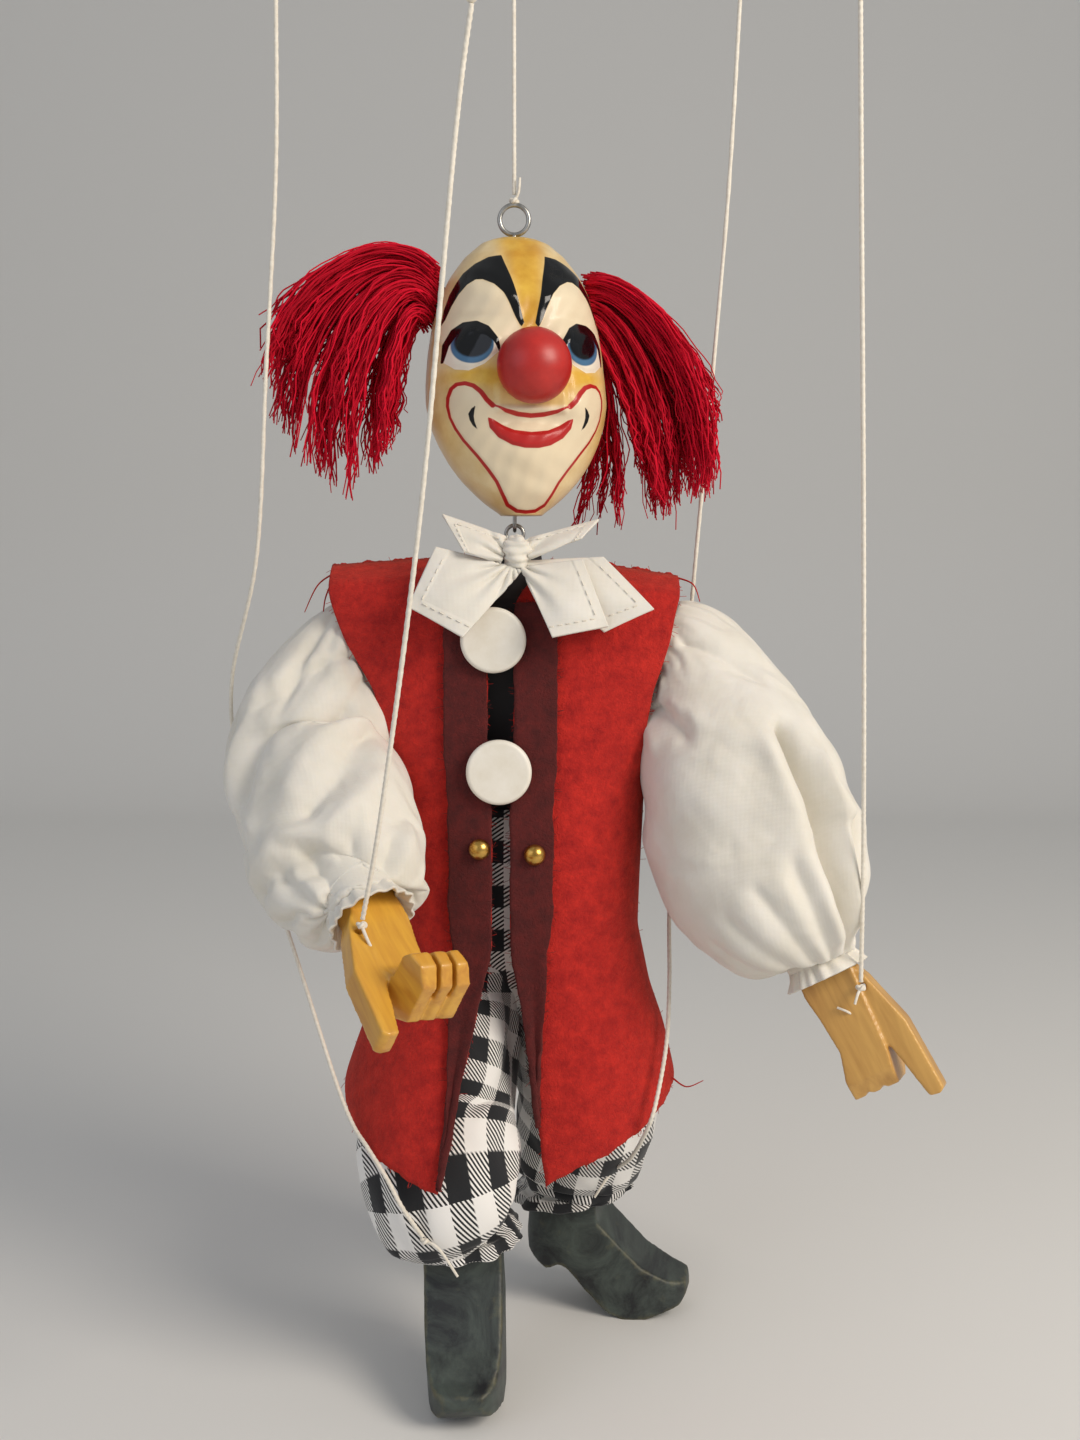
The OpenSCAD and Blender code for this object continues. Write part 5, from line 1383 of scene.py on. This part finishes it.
# %% [markdown]
# ## Boot paint
#
# The boots are brushed with a thin dark grey-green, blotchy from the brush. It has rubbed through
# to the varnished wood along the edges, and most of all at the toes.

# %% Rubbed paint
boot_paint, tree, shader = begin("rubbed_grey_green_paint", Coat_Weight=0.15, Coat_Roughness=0.4)
place = own_place(tree)
brushed_at = add(tree, "Mapping", {"Vector": place, "Scale": (1.0, 0.35, 1.0)}).outputs[0]
blotch = noise(tree, brushed_at, 60.0, 9.0, 0.7, 1.2)
tone = ramp(tree, blotch, "#14181b", "#49534d", 0.38, 0.66)
wear = add(tree, "Attribute", attribute_name="wear").outputs["Fac"]
speckle = noise(tree, place, 260.0, 6.0, 0.7)
uneven = spread(tree, speckle, -0.12, 0.06, From_Min=0.3, From_Max=0.7)
bare = spread(tree, calc(tree, "ADD", wear, uneven), 0.0, 0.75, From_Min=0.02, From_Max=0.2)
worn = over(tree, tone, linear("#6f6a4a"), bare)
feed(tree, shader, worn, speckle, 0.18, 0.0004, rough=spread(tree, blotch, 0.4, 0.68))
for side in SIDES:
    dress(boots[side], boot_paint)

# %% [markdown]
# ## Trunk, wire, buttons and studs
#
# These solids keep their shapes. The trunk is painted matt black in front, the screw eyes are
# bright steel wire, the buttons are moulded plastic discs and the studs are domed brass.


# %% Black paint, steel, plastic and brass
def coat(name, dark, light, low, high, metal=0.0, scale=130.0):
    """Even finish that varies a little: a cloud sets both its colour and its roughness."""
    material, tree, shader = begin(name, Metallic=metal)
    place = own_place(tree)
    cloud = noise(tree, place, scale, 6.0, 0.65)
    tone = ramp(tree, cloud, dark, light, 0.3, 0.7)
    feed(tree, shader, tone, noise(tree, place, 12 * scale, 2.0), 0.06, 0.0002,
         rough=spread(tree, cloud, low, high))
    return material


black_paint = coat("black_painted_wood", "#141315", "#232124", 0.5, 0.75)
steel = coat("bright_steel_wire", "#8f8d88", "#c9c7c1", 0.22, 0.42, metal=1.0, scale=400.0)
plastic = coat("white_satin_plastic", "#e2dccd", "#eeeae0", 0.32, 0.5)
brass = coat("polished_brass", "#b98a3a", "#dcb566", 0.2, 0.36, metal=1.0, scale=300.0)
dress(nodes["trunk"], black_paint)
for node in nodes:
    if node.endswith(("_eye", "_eyes", "_staple")):
        nodes[node].data.shade_smooth()
        dress(nodes[node], steel)
for node in ("upper_button", "lower_button"):
    nodes[node].data.shade_smooth()
    dress(nodes[node], plastic)
nodes["brass_studs"].data.shade_smooth()
dress(nodes["brass_studs"], brass)

# %% [markdown]
# ## Loose threads
#
# Raw felt frays. A few red wool ends hang from the shoulder corners and a hem tip, and short fibres
# stand along every cut edge.

# %% Frayed ends
FRAYS = [[[-50, -1, -164], [-56, -4, -168], [-60, -5, -176]],
         [[-51, -2, -164.5], [-54, -5, -172], [-55, -4, -180]],
         [[46, 0, -166], [51, -3, -168], [53, -4, -173]],
         [[46, -8, -312], [50, -10, -314], [55, -9, -312.5]]]
FRAY_STEPS = 24
thin = np.linspace(0.3, 0.12, FRAY_STEPS)
frays = [tube(through(p, FRAY_STEPS), thin, 6) for p in FRAYS]
fray = solid("felt_fray", np.stack(frays))
dress(fray, felts["red_felt"])
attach(fray, "torso")

# %% Edge fibres
FIBRES, FIBRE_R, FIBRE_STEPS = 260, 0.065, 5


def edge_fibres(grid, count, rng):
    """Short curled fibres on the cut edges: each starts at a random edge point and points away from
    the sheet's inside, turned a little at random."""
    edges = ((grid[0], grid[2]), (grid[-1], grid[-3]),
             (grid[:, 0], grid[:, 2]), (grid[:, -1], grid[:, -3]))
    rim = np.concatenate([e for e, _ in edges])
    away = unit(np.concatenate([e - i for e, i in edges]))
    pick = rng.integers(0, len(rim), count)
    heading = unit(away[pick] + rng.normal(size=(count, 3)) * 0.55)
    curl = unit(rng.normal(size=(count, 3)))
    u = np.linspace(0, 1, FIBRE_STEPS)[None, :, None]
    length = rng.uniform(0.6, 2.2, (count, 1, 1))
    start = rim[pick] - 0.4 * away[pick] + rng.normal(size=(count, 3)) * 0.25
    path = start[:, None] + heading[:, None] * u * length + curl[:, None] * u**2 * length * 0.45
    return tube(path, FIBRE_R, 4)


rng = np.random.default_rng(31)
for node, grid in vest.items():
    fibres = solid(node + "_fibres", edge_fibres(grid, FIBRES, rng))
    dress_felt(fibres, node)
    hang(fibres, node)

# %% Finish
bpy.context.view_layer.update()
